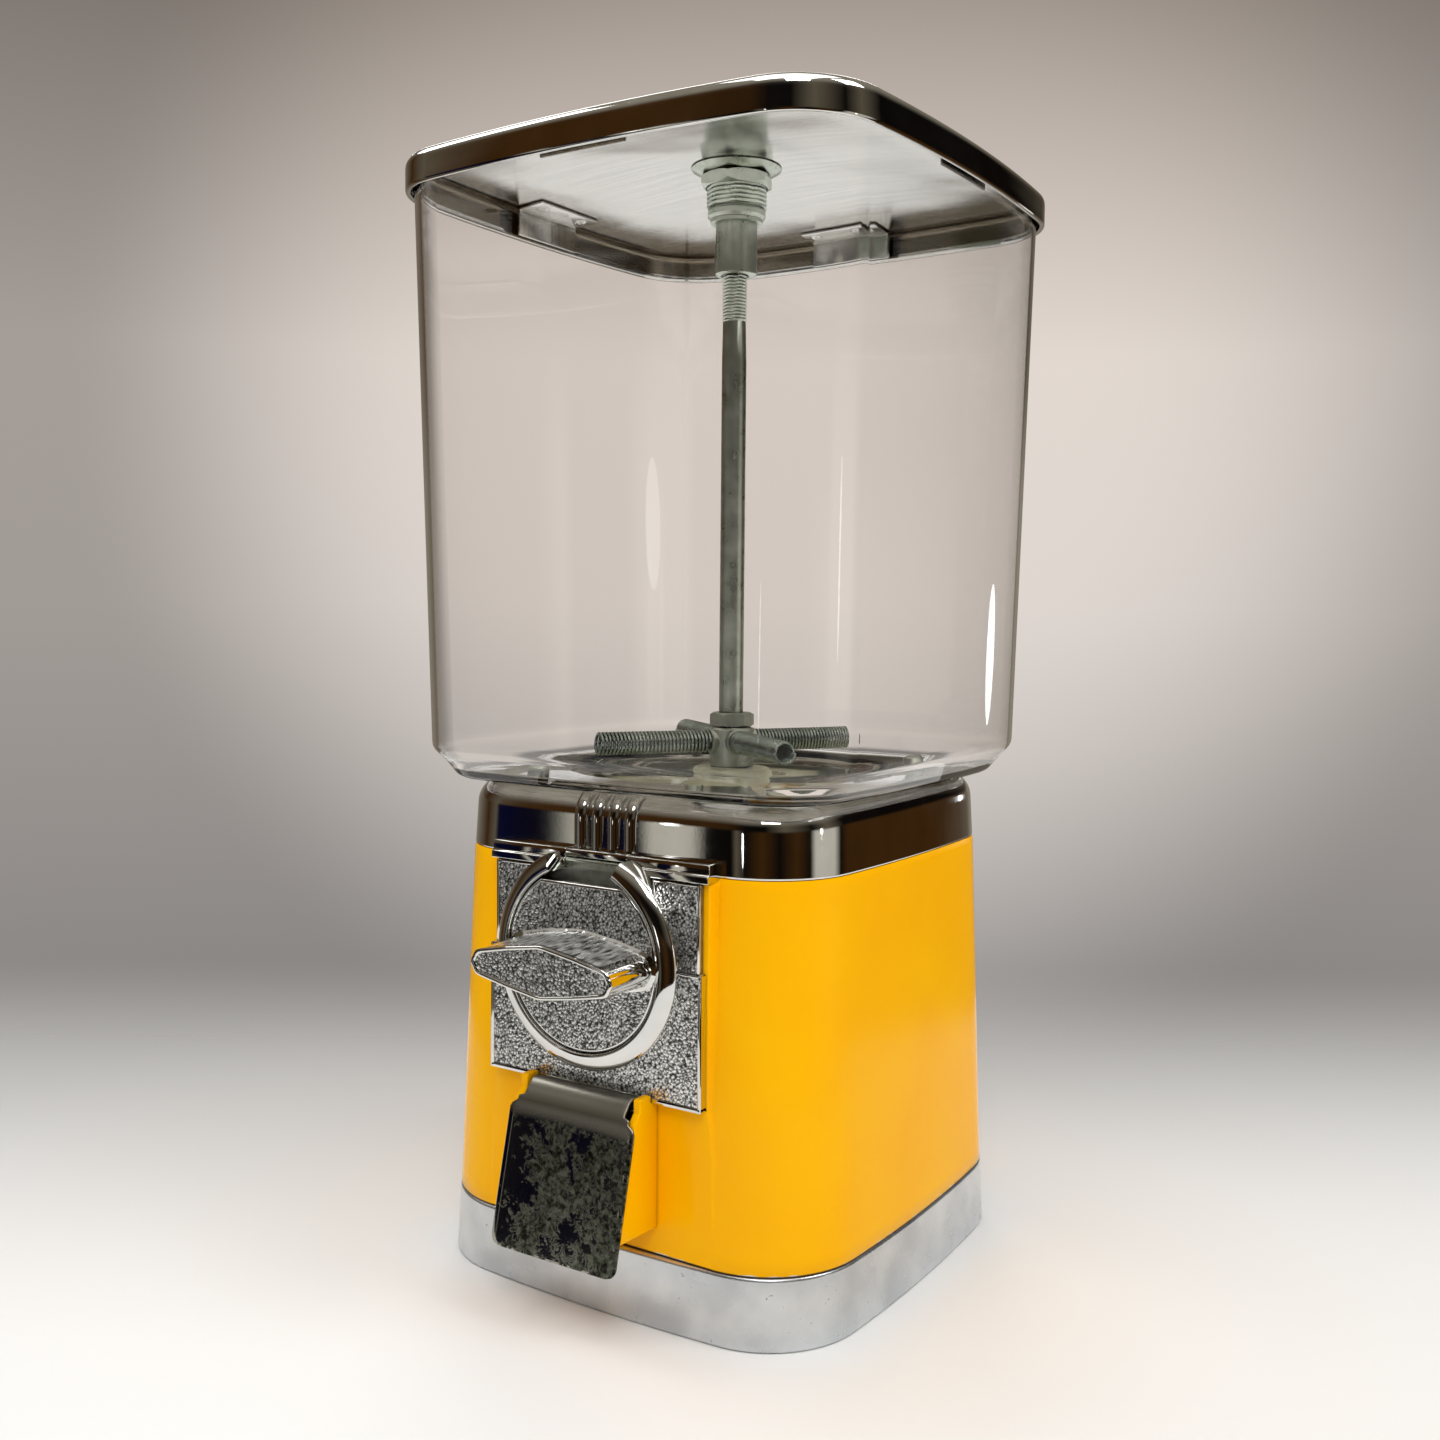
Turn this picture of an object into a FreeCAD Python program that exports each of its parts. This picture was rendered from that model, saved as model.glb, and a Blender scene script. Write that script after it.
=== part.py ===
import FreeCAD, Part
import Sketcher
import math
import os

# Driving dimensions in millimetres and degrees
# Heights run up from the table, and "face" sizes run forward from the rod's axis

SIZES = {
    # plan of the stacked castings: sides bowed to one radius, round corners
    "bow_radius": 700.0,
    "fit_gap": 0.3,
    "run_gap": 0.06,
    # base casting
    "base_half": 88.0,
    "base_rim_half": 87.1,
    "base_corner": 37.0,
    "base_height": 25.2,
    "base_wall": 4.0,
    "base_floor": 3.0,
    "base_round": 1.2,
    "lip_height": 3.0,
    "lip_wall": 2.0,
    "well_radius": 17.0,
    "well_depth": 12.0,
    "well_wall": 3.0,
    "stand_pitch": 100.0,
    "stand_hole_radius": 3.3,
    # cabinet
    "body_inset": 0.3,
    "body_height": 132.6,
    "body_top_half": 81.5,
    "body_top_corner": 32.0,
    "body_wall": 3.0,
    "pad_half": 47.0,
    "pad_proud": 3.4,
    "pad_margin": 1.6,
    "panel_drop": 4.0,
    "panel_half_high": 50.0,
    "panel_half_low": 56.0,
    # chute in front of the cabinet
    "chute_half": 23.3,
    "chute_wall": 3.0,
    "chute_floor_rise": 12.8,
    "chute_floor_fall": 2.0,
    "chute_floor_wall": 3.0,
    "chute_roof_drop": 3.5,
    # chute door
    "flap_half": 26.0,
    "flap_sheet": 1.0,
    "flap_length": 50.3,
    "flap_tilt": 13.0,
    "flap_corner": 4.0,
    "shoulder_run": 6.6,
    "shoulder_drop": 4.5,
    "flap_rest_gap": 0.5,
    "hinge_proud": 6.7,
    "hinge_drop": 1.0,
    "hinge_pin_radius": 1.5,
    "hinge_knuckle_radius": 2.7,
    "hinge_ear_radius": 3.3,
    "hinge_pin_proud": 0.8,
    # collar
    "collar_inset": 0.2,
    "collar_taper": 0.7,
    "collar_corner": 32.0,
    "collar_height": 25.2,
    "collar_wall": 4.5,
    "collar_flange": 3.0,
    "collar_round": 10.0,
    "collar_inner_drop": 4.0,
    "collar_shelf": 7.6,
    "mouth_inset": 5.0,
    "rib_pitch": 7.2,
    "rib_radius": 3.0,
    "rib_rise": 5.7,
    "rib_drop": 3.0,
    "rib_sink": 1.0,
    "ledge_half": 46.8,
    "ledge_drop": 1.2,
    "ledge_rise": 5.4,
    "ledge_proud": 1.1,
    "ledge_round": 1.0,
    "slot_half": 13.5,
    "slot_rise": 2.6,
    # canister
    "canister_foot_inset": 9.8,
    "canister_floor_corner": 24.0,
    "canister_taper": 4.5,
    "canister_foot_height": 11.2,
    "canister_top_half": 97.7,
    "canister_corner": 30.0,
    "canister_height": 225.5,
    "canister_wall": 2.2,
    "canister_floor": 3.0,
    "screw_offset": 4.0,
    "screw_radius": 2.0,
    "screw_head_radius": 4.2,
    "screw_head": 2.8,
    "screw_bite": 7.0,
    # lid
    "lid_overhang": 3.0,
    "lid_overlap": 10.0,
    "lid_seat": 1.5,
    "lid_edge_round": 4.0,
    "lid_crown": 6.0,
    "lid_crown_half": 24.0,
    "lid_sheet": 1.0,
    "lid_hem": 1.3,
    "lid_hem_height": 2.0,
    "bracket_length": 36.0,
    "bracket_reach": 13.0,
    "bracket_drop": 11.0,
    "bracket_sheet": 1.0,
    "bracket_inset": 1.6,
    # lid lock
    "barrel_radius": 11.1,
    "barrel_drop": 20.4,
    "barrel_head_radius": 15.0,
    "barrel_head": 3.0,
    "lock_washer_radius": 17.0,
    "lock_washer_dish": 2.4,
    "lock_nut_flats": 23.8,
    "lock_nut_height": 5.3,
    "tube_radius": 7.45,
    "tube_drop": 21.2,
    "tube_bore_radius": 4.95,
    "tube_bore_depth": 19.0,
    "plug_length": 14.0,
    "plug_head_radius": 9.0,
    "plug_head": 1.8,
    "key_slot_width": 1.8,
    "key_slot_length": 9.0,
    "key_slot_depth": 1.2,
    "keeper_radius": 9.6,
    "keeper_height": 1.2,
    # rod
    "rod_radius": 4.76,
    "rod_foot": 2.0,
    "rod_engage": 17.0,
    "nut_flats": 14.3,
    "nut_height": 6.5,
    "jam_nut_height": 5.5,
    "washer_radius": 12.0,
    "washer_height": 1.6,
    # agitator
    "agitator_angle": 53.9,
    "hub_radius": 8.1,
    "hub_height": 16.0,
    "arm_height": 10.7,
    "arm_seat": 9.0,
    "arm_seat_radius": 4.9,
    "arm_stud_radius": 2.7,
    "arm_stud_length": 16.0,
    "spring_radius": 3.95,
    "spring_wire": 1.1,
    "spring_pitch": 1.76,
    "spring_entry": 2.6,
    # dispensing wheel, its housing and the outlet
    "housing_room": 2.0,
    "wheel_thick": 26.0,
    "wheel_top_drop": 5.5,
    "boss_radius": 20.0,
    "boss_top_radius": 14.0,
    "boss_height": 7.6,
    "pocket_circle": 36.0,
    "pocket_radius": 15.0,
    "housing_wall": 2.8,
    "housing_gap": 1.2,
    "housing_floor": 3.0,
    "pedestal_gap": 4.0,
    "pedestal_drop": 12.4,
    "outlet_radius": 16.0,
    "ear_radius": 6.5,
    "ear_depth": 9.0,
    "window_gap": 2.6,
    "thrust_gap": 0.6,
    "thrust_radius": 14.0,
    "guard_half": 17.0,
    "guard_sheet": 1.2,
    "guard_lift": 0.5,
    "guard_reach": 14.0,
    "guard_foot": 3.0,
    # gear pair
    "crown_inset": 4.5,
    "crown_drop": 4.17,
    "crown_face": 6.0,
    "tooth_rise": 2.6,
    "tooth_fall": 3.3,
    "tooth_share": 0.38,
    "tooth_slope": 20.0,
    # dial, handle and coin mechanism
    "disc_radius": 32.0,
    "disc_gap": 0.4,
    "disc_thick": 4.7,
    "coin_gap": 3.3,
    "disc_chord": 26.5,
    "grip_height": 21.9,
    "grip_half_length": 29.3,
    "grip_shoulder": 25.5,
    "grip_half_width": 9.2,
    "grip_shoulder_width": 4.9,
    "grip_tip_width": 2.2,
    "grip_rim": 1.3,
    "grip_rim_height": 0.8,
    "plate_half": 44.6,
    "plate_fall": 46.5,
    "plate_thick": 1.8,
    "plate_step_drop": 0.5,
    "plate_step_half": 46.2,
    "plate_step_thick": 3.1,
    "plate_rim": 1.3,
    "plate_rim_height": 0.5,
    "spigot_depth": 3.0,
    "ring_outer_radius": 38.8,
    "ring_lip_radius": 34.6,
    "ring_height": 8.8,
    "ring_open_half": 14.5,
    "mech_half": 36.2,
    "mech_rise": 24.7,
    "mech_fall": 34.7,
    "mech_depth": 11.4,
    "mech_wall": 2.8,
    "mech_ear": 5.0,
    "mech_ear_half_height": 6.5,
    "mech_ear_setback": 4.2,
    "mech_ear_thick": 2.8,
    "mech_screw_x": 29.5,
    "mech_screw_z": 21.0,
    "mech_screw_radius": 1.6,
    "mech_screw_head_radius": 3.0,
    "mech_screw_head": 2.0,
    "mech_post_radius": 3.4,
    "mech_screw_bite": 3.5,
    "coin_exit_half": 14.0,
    "carrier_radius": 24.0,
    "carrier_lead": 0.5,
    "coin_radius": 12.4,
    "coin_rise": 13.5,
    "shaft_radius": 5.0,
    "shaft_end_radius": 4.0,
    "gear_gap": 0.5,
    "gear_face": 7.0,
    "shaft_nut_flats": 13.0,
    "shaft_nut_height": 3.4,
    "ratchet_radius": 21.0,
    "ratchet_depth": 3.2,
    "ratchet_gap": 0.7,
    "ratchet_thick": 3.0,
    "pawl_x": -28.0,
    "pawl_z": 12.0,
    "pawl_eye_radius": 3.6,
    "pawl_reach": 8.7,
    "pawl_drop": 3.4,
    "pawl_thick": 2.6,
    "pawl_pin_radius": 1.9,
    "pawl_spring_radius": 2.95,
    "pawl_spring_wire": 0.6,
    "pawl_spring_pitch": 1.15,
    "pawl_spring_entry": 1.8,
    # inner chute
    "tunnel_inset": 1.8,
    "tunnel_wall": 1.2,
    "tunnel_margin": 1.2,
    "tunnel_heel_rise": 26.0,
    "tunnel_brow_rise": 10.5,
    "tunnel_setback": 1.3,
    "tunnel_gap": 0.6,
    "lug_reach": 13.0,
    "lug_sheet": 2.0,
    "lug_back": 44.0,
    "lug_front": 56.0,
    "lug_screw_x": 30.0,
    "lug_screw_face": 50.0,
}

# Counts

CROWN_TEETH = 36
GEAR_TEETH = 12
POCKETS = 3
RATCHET_TEETH = 12
RIBS = 4
AGITATOR_CURLS = 24
PAWL_CURLS = 2
TOOL_OVERRUN = 20.0
HEX_SIDES = 6
BEVEL_STEPS = 4

doc = FreeCAD.newDocument("gumball_machine")
sheet = doc.addObject("Spreadsheet::Sheet", "Sheet")
for row, (alias, number) in enumerate(SIZES.items(), start=1):
    sheet.set(f"A{row}", alias)
    sheet.set(f"B{row}", str(number))
    sheet.setAlias(f"B{row}", alias)
doc.recompute()

nodes = []


# A size keeps its number together with the sheet formula that gives it

class Size:
    def __init__(self, value, text):
        self.value = float(value)
        self.text = text

    def join(self, other, sign, value):
        return Size(value, f"({self.text} {sign} {other.text})")

    def __add__(self, other):
        other = to_size(other)
        return self.join(other, "+", self.value + other.value)

    def __radd__(self, other):
        return to_size(other) + self

    def __sub__(self, other):
        other = to_size(other)
        return self.join(other, "-", self.value - other.value)

    def __rsub__(self, other):
        return to_size(other) - self

    def __mul__(self, other):
        other = to_size(other)
        return self.join(other, "*", self.value * other.value)

    def __rmul__(self, other):
        return to_size(other) * self

    def __truediv__(self, other):
        other = to_size(other)
        return self.join(other, "/", self.value / other.value)

    def __neg__(self):
        return Size(-self.value, f"(0 - {self.text})")


def to_size(number):
    if isinstance(number, Size):
        return number
    return Size(number, f"({number})")


def cosine(angle):
    return Size(math.cos(math.radians(angle.value)), f"cos({angle.text})")


def sine(angle):
    return Size(math.sin(math.radians(angle.value)), f"sin({angle.text})")


def tangent(angle):
    return Size(math.tan(math.radians(angle.value)), f"tan({angle.text})")


class Sizes:
    pass


s = Sizes()
for alias, number in SIZES.items():
    setattr(s, alias, Size(number, f"Sheet.{alias}"))
zero = to_size(0)


# Bodies, sketches and features

def new_body(label):
    body = doc.addObject("PartDesign::Body", label)
    body.Label = label
    nodes.append(body)
    return body


def origin_feature(body, role):
    for feature in body.Origin.OriginFeatures:
        if feature.Role == role:
            return feature


def new_sketch(body, plane, offset=zero, up=zero, tilt=None):
    sketch = body.newObject("Sketcher::SketchObject", f"{body.Name}_sketch")
    sketch.AttachmentSupport = [(origin_feature(body, plane), "")]
    sketch.MapMode = "FlatFace"
    angle = tilt.value if tilt else 0.0
    turn = FreeCAD.Rotation(FreeCAD.Vector(-1, 0, 0), angle)
    sketch.AttachmentOffset = FreeCAD.Placement(FreeCAD.Vector(0, up.value, offset.value), turn)
    sketch.setExpression("AttachmentOffset.Base.y", up.text)
    sketch.setExpression("AttachmentOffset.Base.z", offset.text)
    if tilt:
        sketch.setExpression("AttachmentOffset.Rotation.Angle", tilt.text)
    return sketch


def constrain(sketch, kind, *parts):
    *places, size = parts
    number = sketch.addConstraint(Sketcher.Constraint(kind, *places, size.value))
    sketch.setExpression(f"Constraints[{number}]", size.text)


def fix_point(sketch, geometry, end, x, y):
    constrain(sketch, "DistanceX", -1, 1, geometry, end, to_size(x))
    constrain(sketch, "DistanceY", -1, 1, geometry, end, to_size(y))


def vector(x, y):
    return FreeCAD.Vector(to_size(x).value, to_size(y).value, 0)


def polygon(sketch, corners):
    first = sketch.GeometryCount
    count = len(corners)
    for index, corner in enumerate(corners):
        following = corners[(index + 1) % count]
        sketch.addGeometry(Part.LineSegment(vector(*corner), vector(*following)))
    for index, corner in enumerate(corners):
        after = first + (index + 1) % count
        sketch.addConstraint(Sketcher.Constraint("Coincident", first + index, 2, after, 1))
    for index, corner in enumerate(corners):
        fix_point(sketch, first + index, 1, *corner)


def rectangle(sketch, left, low, right, high):
    polygon(sketch, [(left, low), (right, low), (right, high), (left, high)])


def circle(sketch, x, y, radius):
    number = sketch.addGeometry(Part.Circle(vector(x, y), FreeCAD.Vector(0, 0, 1), radius.value))
    fix_point(sketch, number, 3, x, y)
    constrain(sketch, "Radius", number, radius)


def arc(centre_x, centre_y, radius, start, end):
    whole = Part.Circle(FreeCAD.Vector(centre_x, centre_y, 0), FreeCAD.Vector(0, 0, 1), radius)
    return Part.ArcOfCircle(whole, start, end)


def bowed_square(sketch, half, corner):
    bow = s.bow_radius
    side_centre = half.value - bow.value
    reach = bow.value - corner.value
    corner_centre = (side_centre + math.sqrt(2 * reach ** 2 - side_centre ** 2)) / 2
    swing = math.atan2(corner_centre, corner_centre - side_centre)
    for quarter in range(4):
        turn = quarter * math.pi / 2
        spin = FreeCAD.Rotation(FreeCAD.Vector(0, 0, 1), math.degrees(turn))
        middle = spin.multVec(FreeCAD.Vector(side_centre, 0, 0))
        bend = spin.multVec(FreeCAD.Vector(corner_centre, corner_centre, 0))
        sketch.addGeometry(arc(middle.x, middle.y, bow.value, turn - swing, turn + swing))
        away = turn + math.pi / 2 - swing
        sketch.addGeometry(arc(bend.x, bend.y, corner.value, turn + swing, away))
    for edge in range(8):
        sketch.addConstraint(Sketcher.Constraint("Tangent", edge, 2, (edge + 1) % 8, 1))
    for edge in range(2, 8):
        sketch.addConstraint(Sketcher.Constraint("Equal", edge % 2, edge))
    constrain(sketch, "Radius", 0, bow)
    constrain(sketch, "Radius", 1, corner)
    fix_point(sketch, 0, 3, half - bow, zero)
    fix_point(sketch, 4, 3, bow - half, zero)
    constrain(sketch, "DistanceY", -1, 1, 2, 3, half - bow)


def rounded_rectangle(sketch, left, low, right, high, corner):
    xs = (right.value - corner.value, left.value + corner.value)
    ys = (high.value - corner.value, low.value + corner.value)
    centres = ((xs[0], ys[0]), (xs[1], ys[0]), (xs[1], ys[1]), (xs[0], ys[1]))
    ends = []
    for quarter, (x, y) in enumerate(centres):
        bend = arc(x, y, corner.value, quarter * math.pi / 2, (quarter + 1) * math.pi / 2)
        sketch.addGeometry(bend)
        ends.append((bend.StartPoint, bend.EndPoint))
    for quarter in range(4):
        sketch.addGeometry(Part.LineSegment(ends[quarter][1], ends[(quarter + 1) % 4][0]))
    for quarter in range(4):
        line = 4 + quarter
        sketch.addConstraint(Sketcher.Constraint("Tangent", quarter, 2, line, 1))
        sketch.addConstraint(Sketcher.Constraint("Tangent", line, 2, (quarter + 1) % 4, 1))
        if quarter:
            sketch.addConstraint(Sketcher.Constraint("Equal", 0, quarter))
    constrain(sketch, "Radius", 0, corner)
    fix_point(sketch, 0, 3, right - corner, high - corner)
    fix_point(sketch, 2, 3, left + corner, low + corner)


def finish_feature(feature, sketch, length, backward, middle):
    feature.Profile = sketch
    feature.Length = length.value
    feature.setExpression("Length", length.text)
    feature.Reversed = backward
    if middle:
        feature.SideType = "Symmetric"


def pad(body, sketch, length, backward=False, middle=False):
    feature = body.newObject("PartDesign::Pad", f"{body.Name}_pad")
    finish_feature(feature, sketch, length, backward, middle)
    return feature


def pocket(body, sketch, length, backward=False, middle=False):
    feature = body.newObject("PartDesign::Pocket", f"{body.Name}_pocket")
    finish_feature(feature, sketch, length, backward, middle)
    return feature


def revolve(body, sketch, axis="V_Axis", cut=False):
    kind = "Groove" if cut else "Revolution"
    feature = body.newObject(f"PartDesign::{kind}", f"{body.Name}_turn")
    feature.Profile = sketch
    feature.ReferenceAxis = (sketch, [axis])
    feature.Angle = 360.0
    return feature


def loft(body, sketches, cut=False):
    kind = "SubtractiveLoft" if cut else "AdditiveLoft"
    feature = body.newObject(f"PartDesign::{kind}", f"{body.Name}_loft")
    feature.Profile = sketches[0]
    feature.Sections = sketches[1:]
    feature.Ruled = True
    return feature


def stack(body, sections, cut=False):
    sketches = []
    for height, half, corner in sections:
        sketch = new_sketch(body, "XY_Plane", height)
        bowed_square(sketch, half, corner)
        sketches.append(sketch)
    return loft(body, sketches, cut)


def ring_pad(body, low, height, outer, inner, corner, wall):
    sketch = new_sketch(body, "XY_Plane", low)
    bowed_square(sketch, outer, corner)
    feature = pad(body, sketch, height)
    hollow = new_sketch(body, "XY_Plane", low)
    bowed_square(hollow, inner, corner - wall)
    pocket(body, hollow, height, backward=True)
    return feature


def repeat_round(body, feature, count):
    pattern = body.newObject("PartDesign::PolarPattern", f"{body.Name}_round")
    pattern.Originals = [feature]
    pattern.Axis = (origin_feature(body, "Z_Axis"), [""])
    pattern.Angle = 360.0
    pattern.Occurrences = count
    body.Tip = pattern
    return pattern


# Sections round an outer edge, from the flat end to the full width

def bevel(height, half, corner, radius, inward):
    sections = []
    for step in range(BEVEL_STEPS + 1):
        angle = math.pi / 2 * step / BEVEL_STEPS
        inset = radius * (1 - math.sin(angle))
        rise = radius * (inward * (1 - math.cos(angle)))
        sections.append((height + rise, half - inset, corner - inset))
    return sections


def place(item, x=zero, y=zero, z=zero, axis=(0, 0, 1), angle=zero):
    turn = FreeCAD.Rotation(FreeCAD.Vector(*axis), angle.value)
    item.Placement = FreeCAD.Placement(FreeCAD.Vector(x.value, y.value, z.value), turn)
    for name, size in (("x", x), ("y", y), ("z", z)):
        item.setExpression(f"Placement.Base.{name}", size.text)
    if angle.value:
        item.setExpression("Placement.Rotation.Angle", angle.text)


def face_forward(body):
    place(body, z=dial_height, axis=(1, 0, 0), angle=to_size(90))


def turned(label, corners):
    body = new_body(label)
    sketch = new_sketch(body, "XZ_Plane")
    polygon(sketch, corners)
    revolve(body, sketch)
    return body


def sleeve(label, low, high, inner, outer):
    return turned(label, [(inner, low), (outer, low), (outer, high), (inner, high)])


def hexagon(sketch, flats):
    corner = flats / math.sqrt(3)
    corners = []
    for index in range(HEX_SIDES):
        angle = 2 * math.pi * index / HEX_SIDES
        corners.append((corner * math.cos(angle), corner * math.sin(angle)))
    polygon(sketch, corners)


def hex_nut(label, low, height, flats, bore):
    body = new_body(label)
    sketch = new_sketch(body, "XY_Plane", low)
    hexagon(sketch, flats)
    pad(body, sketch, height)
    trim = new_sketch(body, "XZ_Plane")
    corner = flats / math.sqrt(3)
    flat = flats / 2
    cut = (corner - flat) * 0.6
    far = corner + 1.0
    high = low + height
    for edge, inward in ((low, cut), (high, -cut)):
        polygon(trim, [(flat, edge), (far, edge), (far, edge + inward * (far - flat) / (corner - flat))])
    revolve(body, trim, cut=True)
    hole = new_sketch(body, "XY_Plane", low)
    circle(hole, zero, zero, bore)
    pocket(body, hole, height, backward=True)
    return body


def group(label, pieces):
    compound = doc.addObject("Part::Compound", label)
    compound.Label = label
    compound.Links = pieces
    nodes.append(compound)
    return compound


def cylinder(name, radius, height):
    item = doc.addObject("Part::Cylinder", name)
    item.setExpression("Radius", radius.text)
    item.setExpression("Height", height.text)
    return item


# A screw stands along its own axis with the underside of its head at the origin

def screw(name, radius, length, head_radius, head_height):
    shank = cylinder(f"{name}_shank", radius, length)
    place(shank, z=-length)
    head = cylinder(f"{name}_head", head_radius, head_height)
    whole = doc.addObject("Part::Fuse", name)
    whole.Base = head
    whole.Tool = shank
    return whole


# Heights of the stack

base_top = s.base_height
body_top = base_top + s.body_height
collar_top = body_top + s.collar_height
flange_under = collar_top - s.collar_flange
foot_top = collar_top + s.canister_foot_height
floor_top = collar_top + s.canister_floor
canister_top = collar_top + s.canister_height
lid_low = canister_top - s.lid_overlap
lid_under = canister_top + s.lid_seat
lid_edge = lid_under + s.lid_sheet
crown_top = lid_edge + s.lid_crown
crown_under = crown_top - s.lid_sheet
barrel_low = crown_top - s.barrel_drop
tube_low = barrel_low - s.tube_drop
rod_top = tube_low + s.rod_engage
wheel_top = collar_top - s.wheel_top_drop
wheel_low = wheel_top - s.wheel_thick
hub_low = wheel_top + s.boss_height
arm_level = hub_low + s.arm_height
pedestal_top = wheel_low - s.thrust_gap
housing_low = pedestal_top - s.pedestal_drop
lower_floor_top = housing_low + s.housing_floor
ledge_low = body_top - s.ledge_drop
ledge_high = body_top + s.ledge_rise
pad_high = body_top - s.pad_margin

# Plan sizes, each from the piece that it fits

body_half = s.base_rim_half - s.body_inset
body_corner = s.base_corner - s.body_inset
collar_half = s.body_top_half - s.collar_inset
collar_top_half = collar_half - s.collar_taper
collar_inner_half = collar_top_half - s.collar_shelf
foot_half = s.canister_top_half - s.canister_taper
floor_half = foot_half - s.canister_foot_inset
lid_half = s.canister_top_half + s.lid_overhang
lid_corner = s.canister_corner + s.lid_overhang
housing_outer = collar_inner_half - s.housing_room
housing_inner = housing_outer - s.housing_wall
wheel_radius = housing_inner - s.housing_gap
mouth_radius = wheel_radius - s.mouth_inset
crown_radius = wheel_radius - s.crown_inset
pedestal_radius = crown_radius - s.crown_face / 2 - s.pedestal_gap
screw_reach = (housing_outer + s.screw_offset) / math.sqrt(2)
rod_clear = s.rod_radius + s.run_gap

# The gear pair sets the height of the dial

gear_pitch_radius = crown_radius * (GEAR_TEETH / CROWN_TEETH)
gear_back = crown_radius - s.crown_face / 2 - s.gear_gap
tooth_pitch = crown_radius * (2 * math.pi / CROWN_TEETH)
crown_pitch_height = wheel_low - s.crown_drop
dial_height = crown_pitch_height - gear_pitch_radius

# Faces of the front, forward of the rod's axis

pad_face = s.body_top_half + s.pad_proud
plate_face = pad_face + s.plate_thick
plate_step_face = pad_face + s.plate_step_thick
plate_back = pad_face - s.spigot_depth
ring_face = plate_face + s.ring_height
disc_back = plate_face + s.coin_gap
disc_face = disc_back + s.disc_thick
grip_face = disc_face + s.grip_height
carrier_back = plate_back + s.carrier_lead
mech_back = plate_back - s.mech_depth
ratchet_back = plate_back - s.ratchet_gap - s.ratchet_thick
ledge_face = pad_face + s.ledge_proud

# The chute hangs from the plate's lower edge

plate_low = dial_height - s.plate_fall
plate_step = dial_height - s.plate_step_drop
panel_high = plate_low - s.panel_drop
hinge_face = pad_face + s.hinge_proud
hinge_height = plate_low - s.hinge_drop
shoulder_face = hinge_face + s.shoulder_run
shoulder_height = hinge_height - s.shoulder_drop
chute_roof = hinge_height - s.chute_roof_drop
chute_floor_back = base_top + s.chute_floor_rise
chute_floor_front = chute_floor_back - s.chute_floor_fall


def make_base():
    body = new_body("base")
    foot = bevel(zero, s.base_half, s.base_corner, s.base_round, 1)
    rim = bevel(base_top, s.base_rim_half, s.base_corner, s.base_round, -1)
    stack(body, foot + rim[::-1])
    inner_corner = s.base_corner - s.base_wall
    stack(body, [(s.base_floor, s.base_half - s.base_wall, inner_corner),
                 (base_top, s.base_rim_half - s.base_wall, inner_corner)], cut=True)
    lip_outer = body_half - s.body_wall - s.fit_gap
    lip_corner = body_corner - s.body_wall - s.fit_gap
    lip_low = base_top - s.lip_height
    ring_pad(body, lip_low, s.lip_height * 2, lip_outer, lip_outer - s.lip_wall, lip_corner, s.lip_wall)
    well = new_sketch(body, "XY_Plane")
    circle(well, zero, zero, s.well_radius + s.well_wall)
    pad(body, well, s.well_depth + s.well_wall)
    recess = new_sketch(body, "XY_Plane")
    circle(recess, zero, zero, s.well_radius)
    pocket(body, recess, s.well_depth, backward=True)
    hole = new_sketch(body, "XY_Plane")
    circle(hole, zero, zero, s.rod_radius + s.fit_gap)
    pocket(body, hole, s.well_depth + s.well_wall, backward=True)
    bolts = new_sketch(body, "XY_Plane")
    reach = s.stand_pitch / 2
    for x in (-reach, reach):
        for y in (-reach, reach):
            circle(bolts, x, y, s.stand_hole_radius)
    pocket(body, bolts, s.base_floor, backward=True)


def body_section(height):
    share = (height - base_top) / s.body_height
    return body_half + (s.body_top_half - body_half) * share


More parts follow.
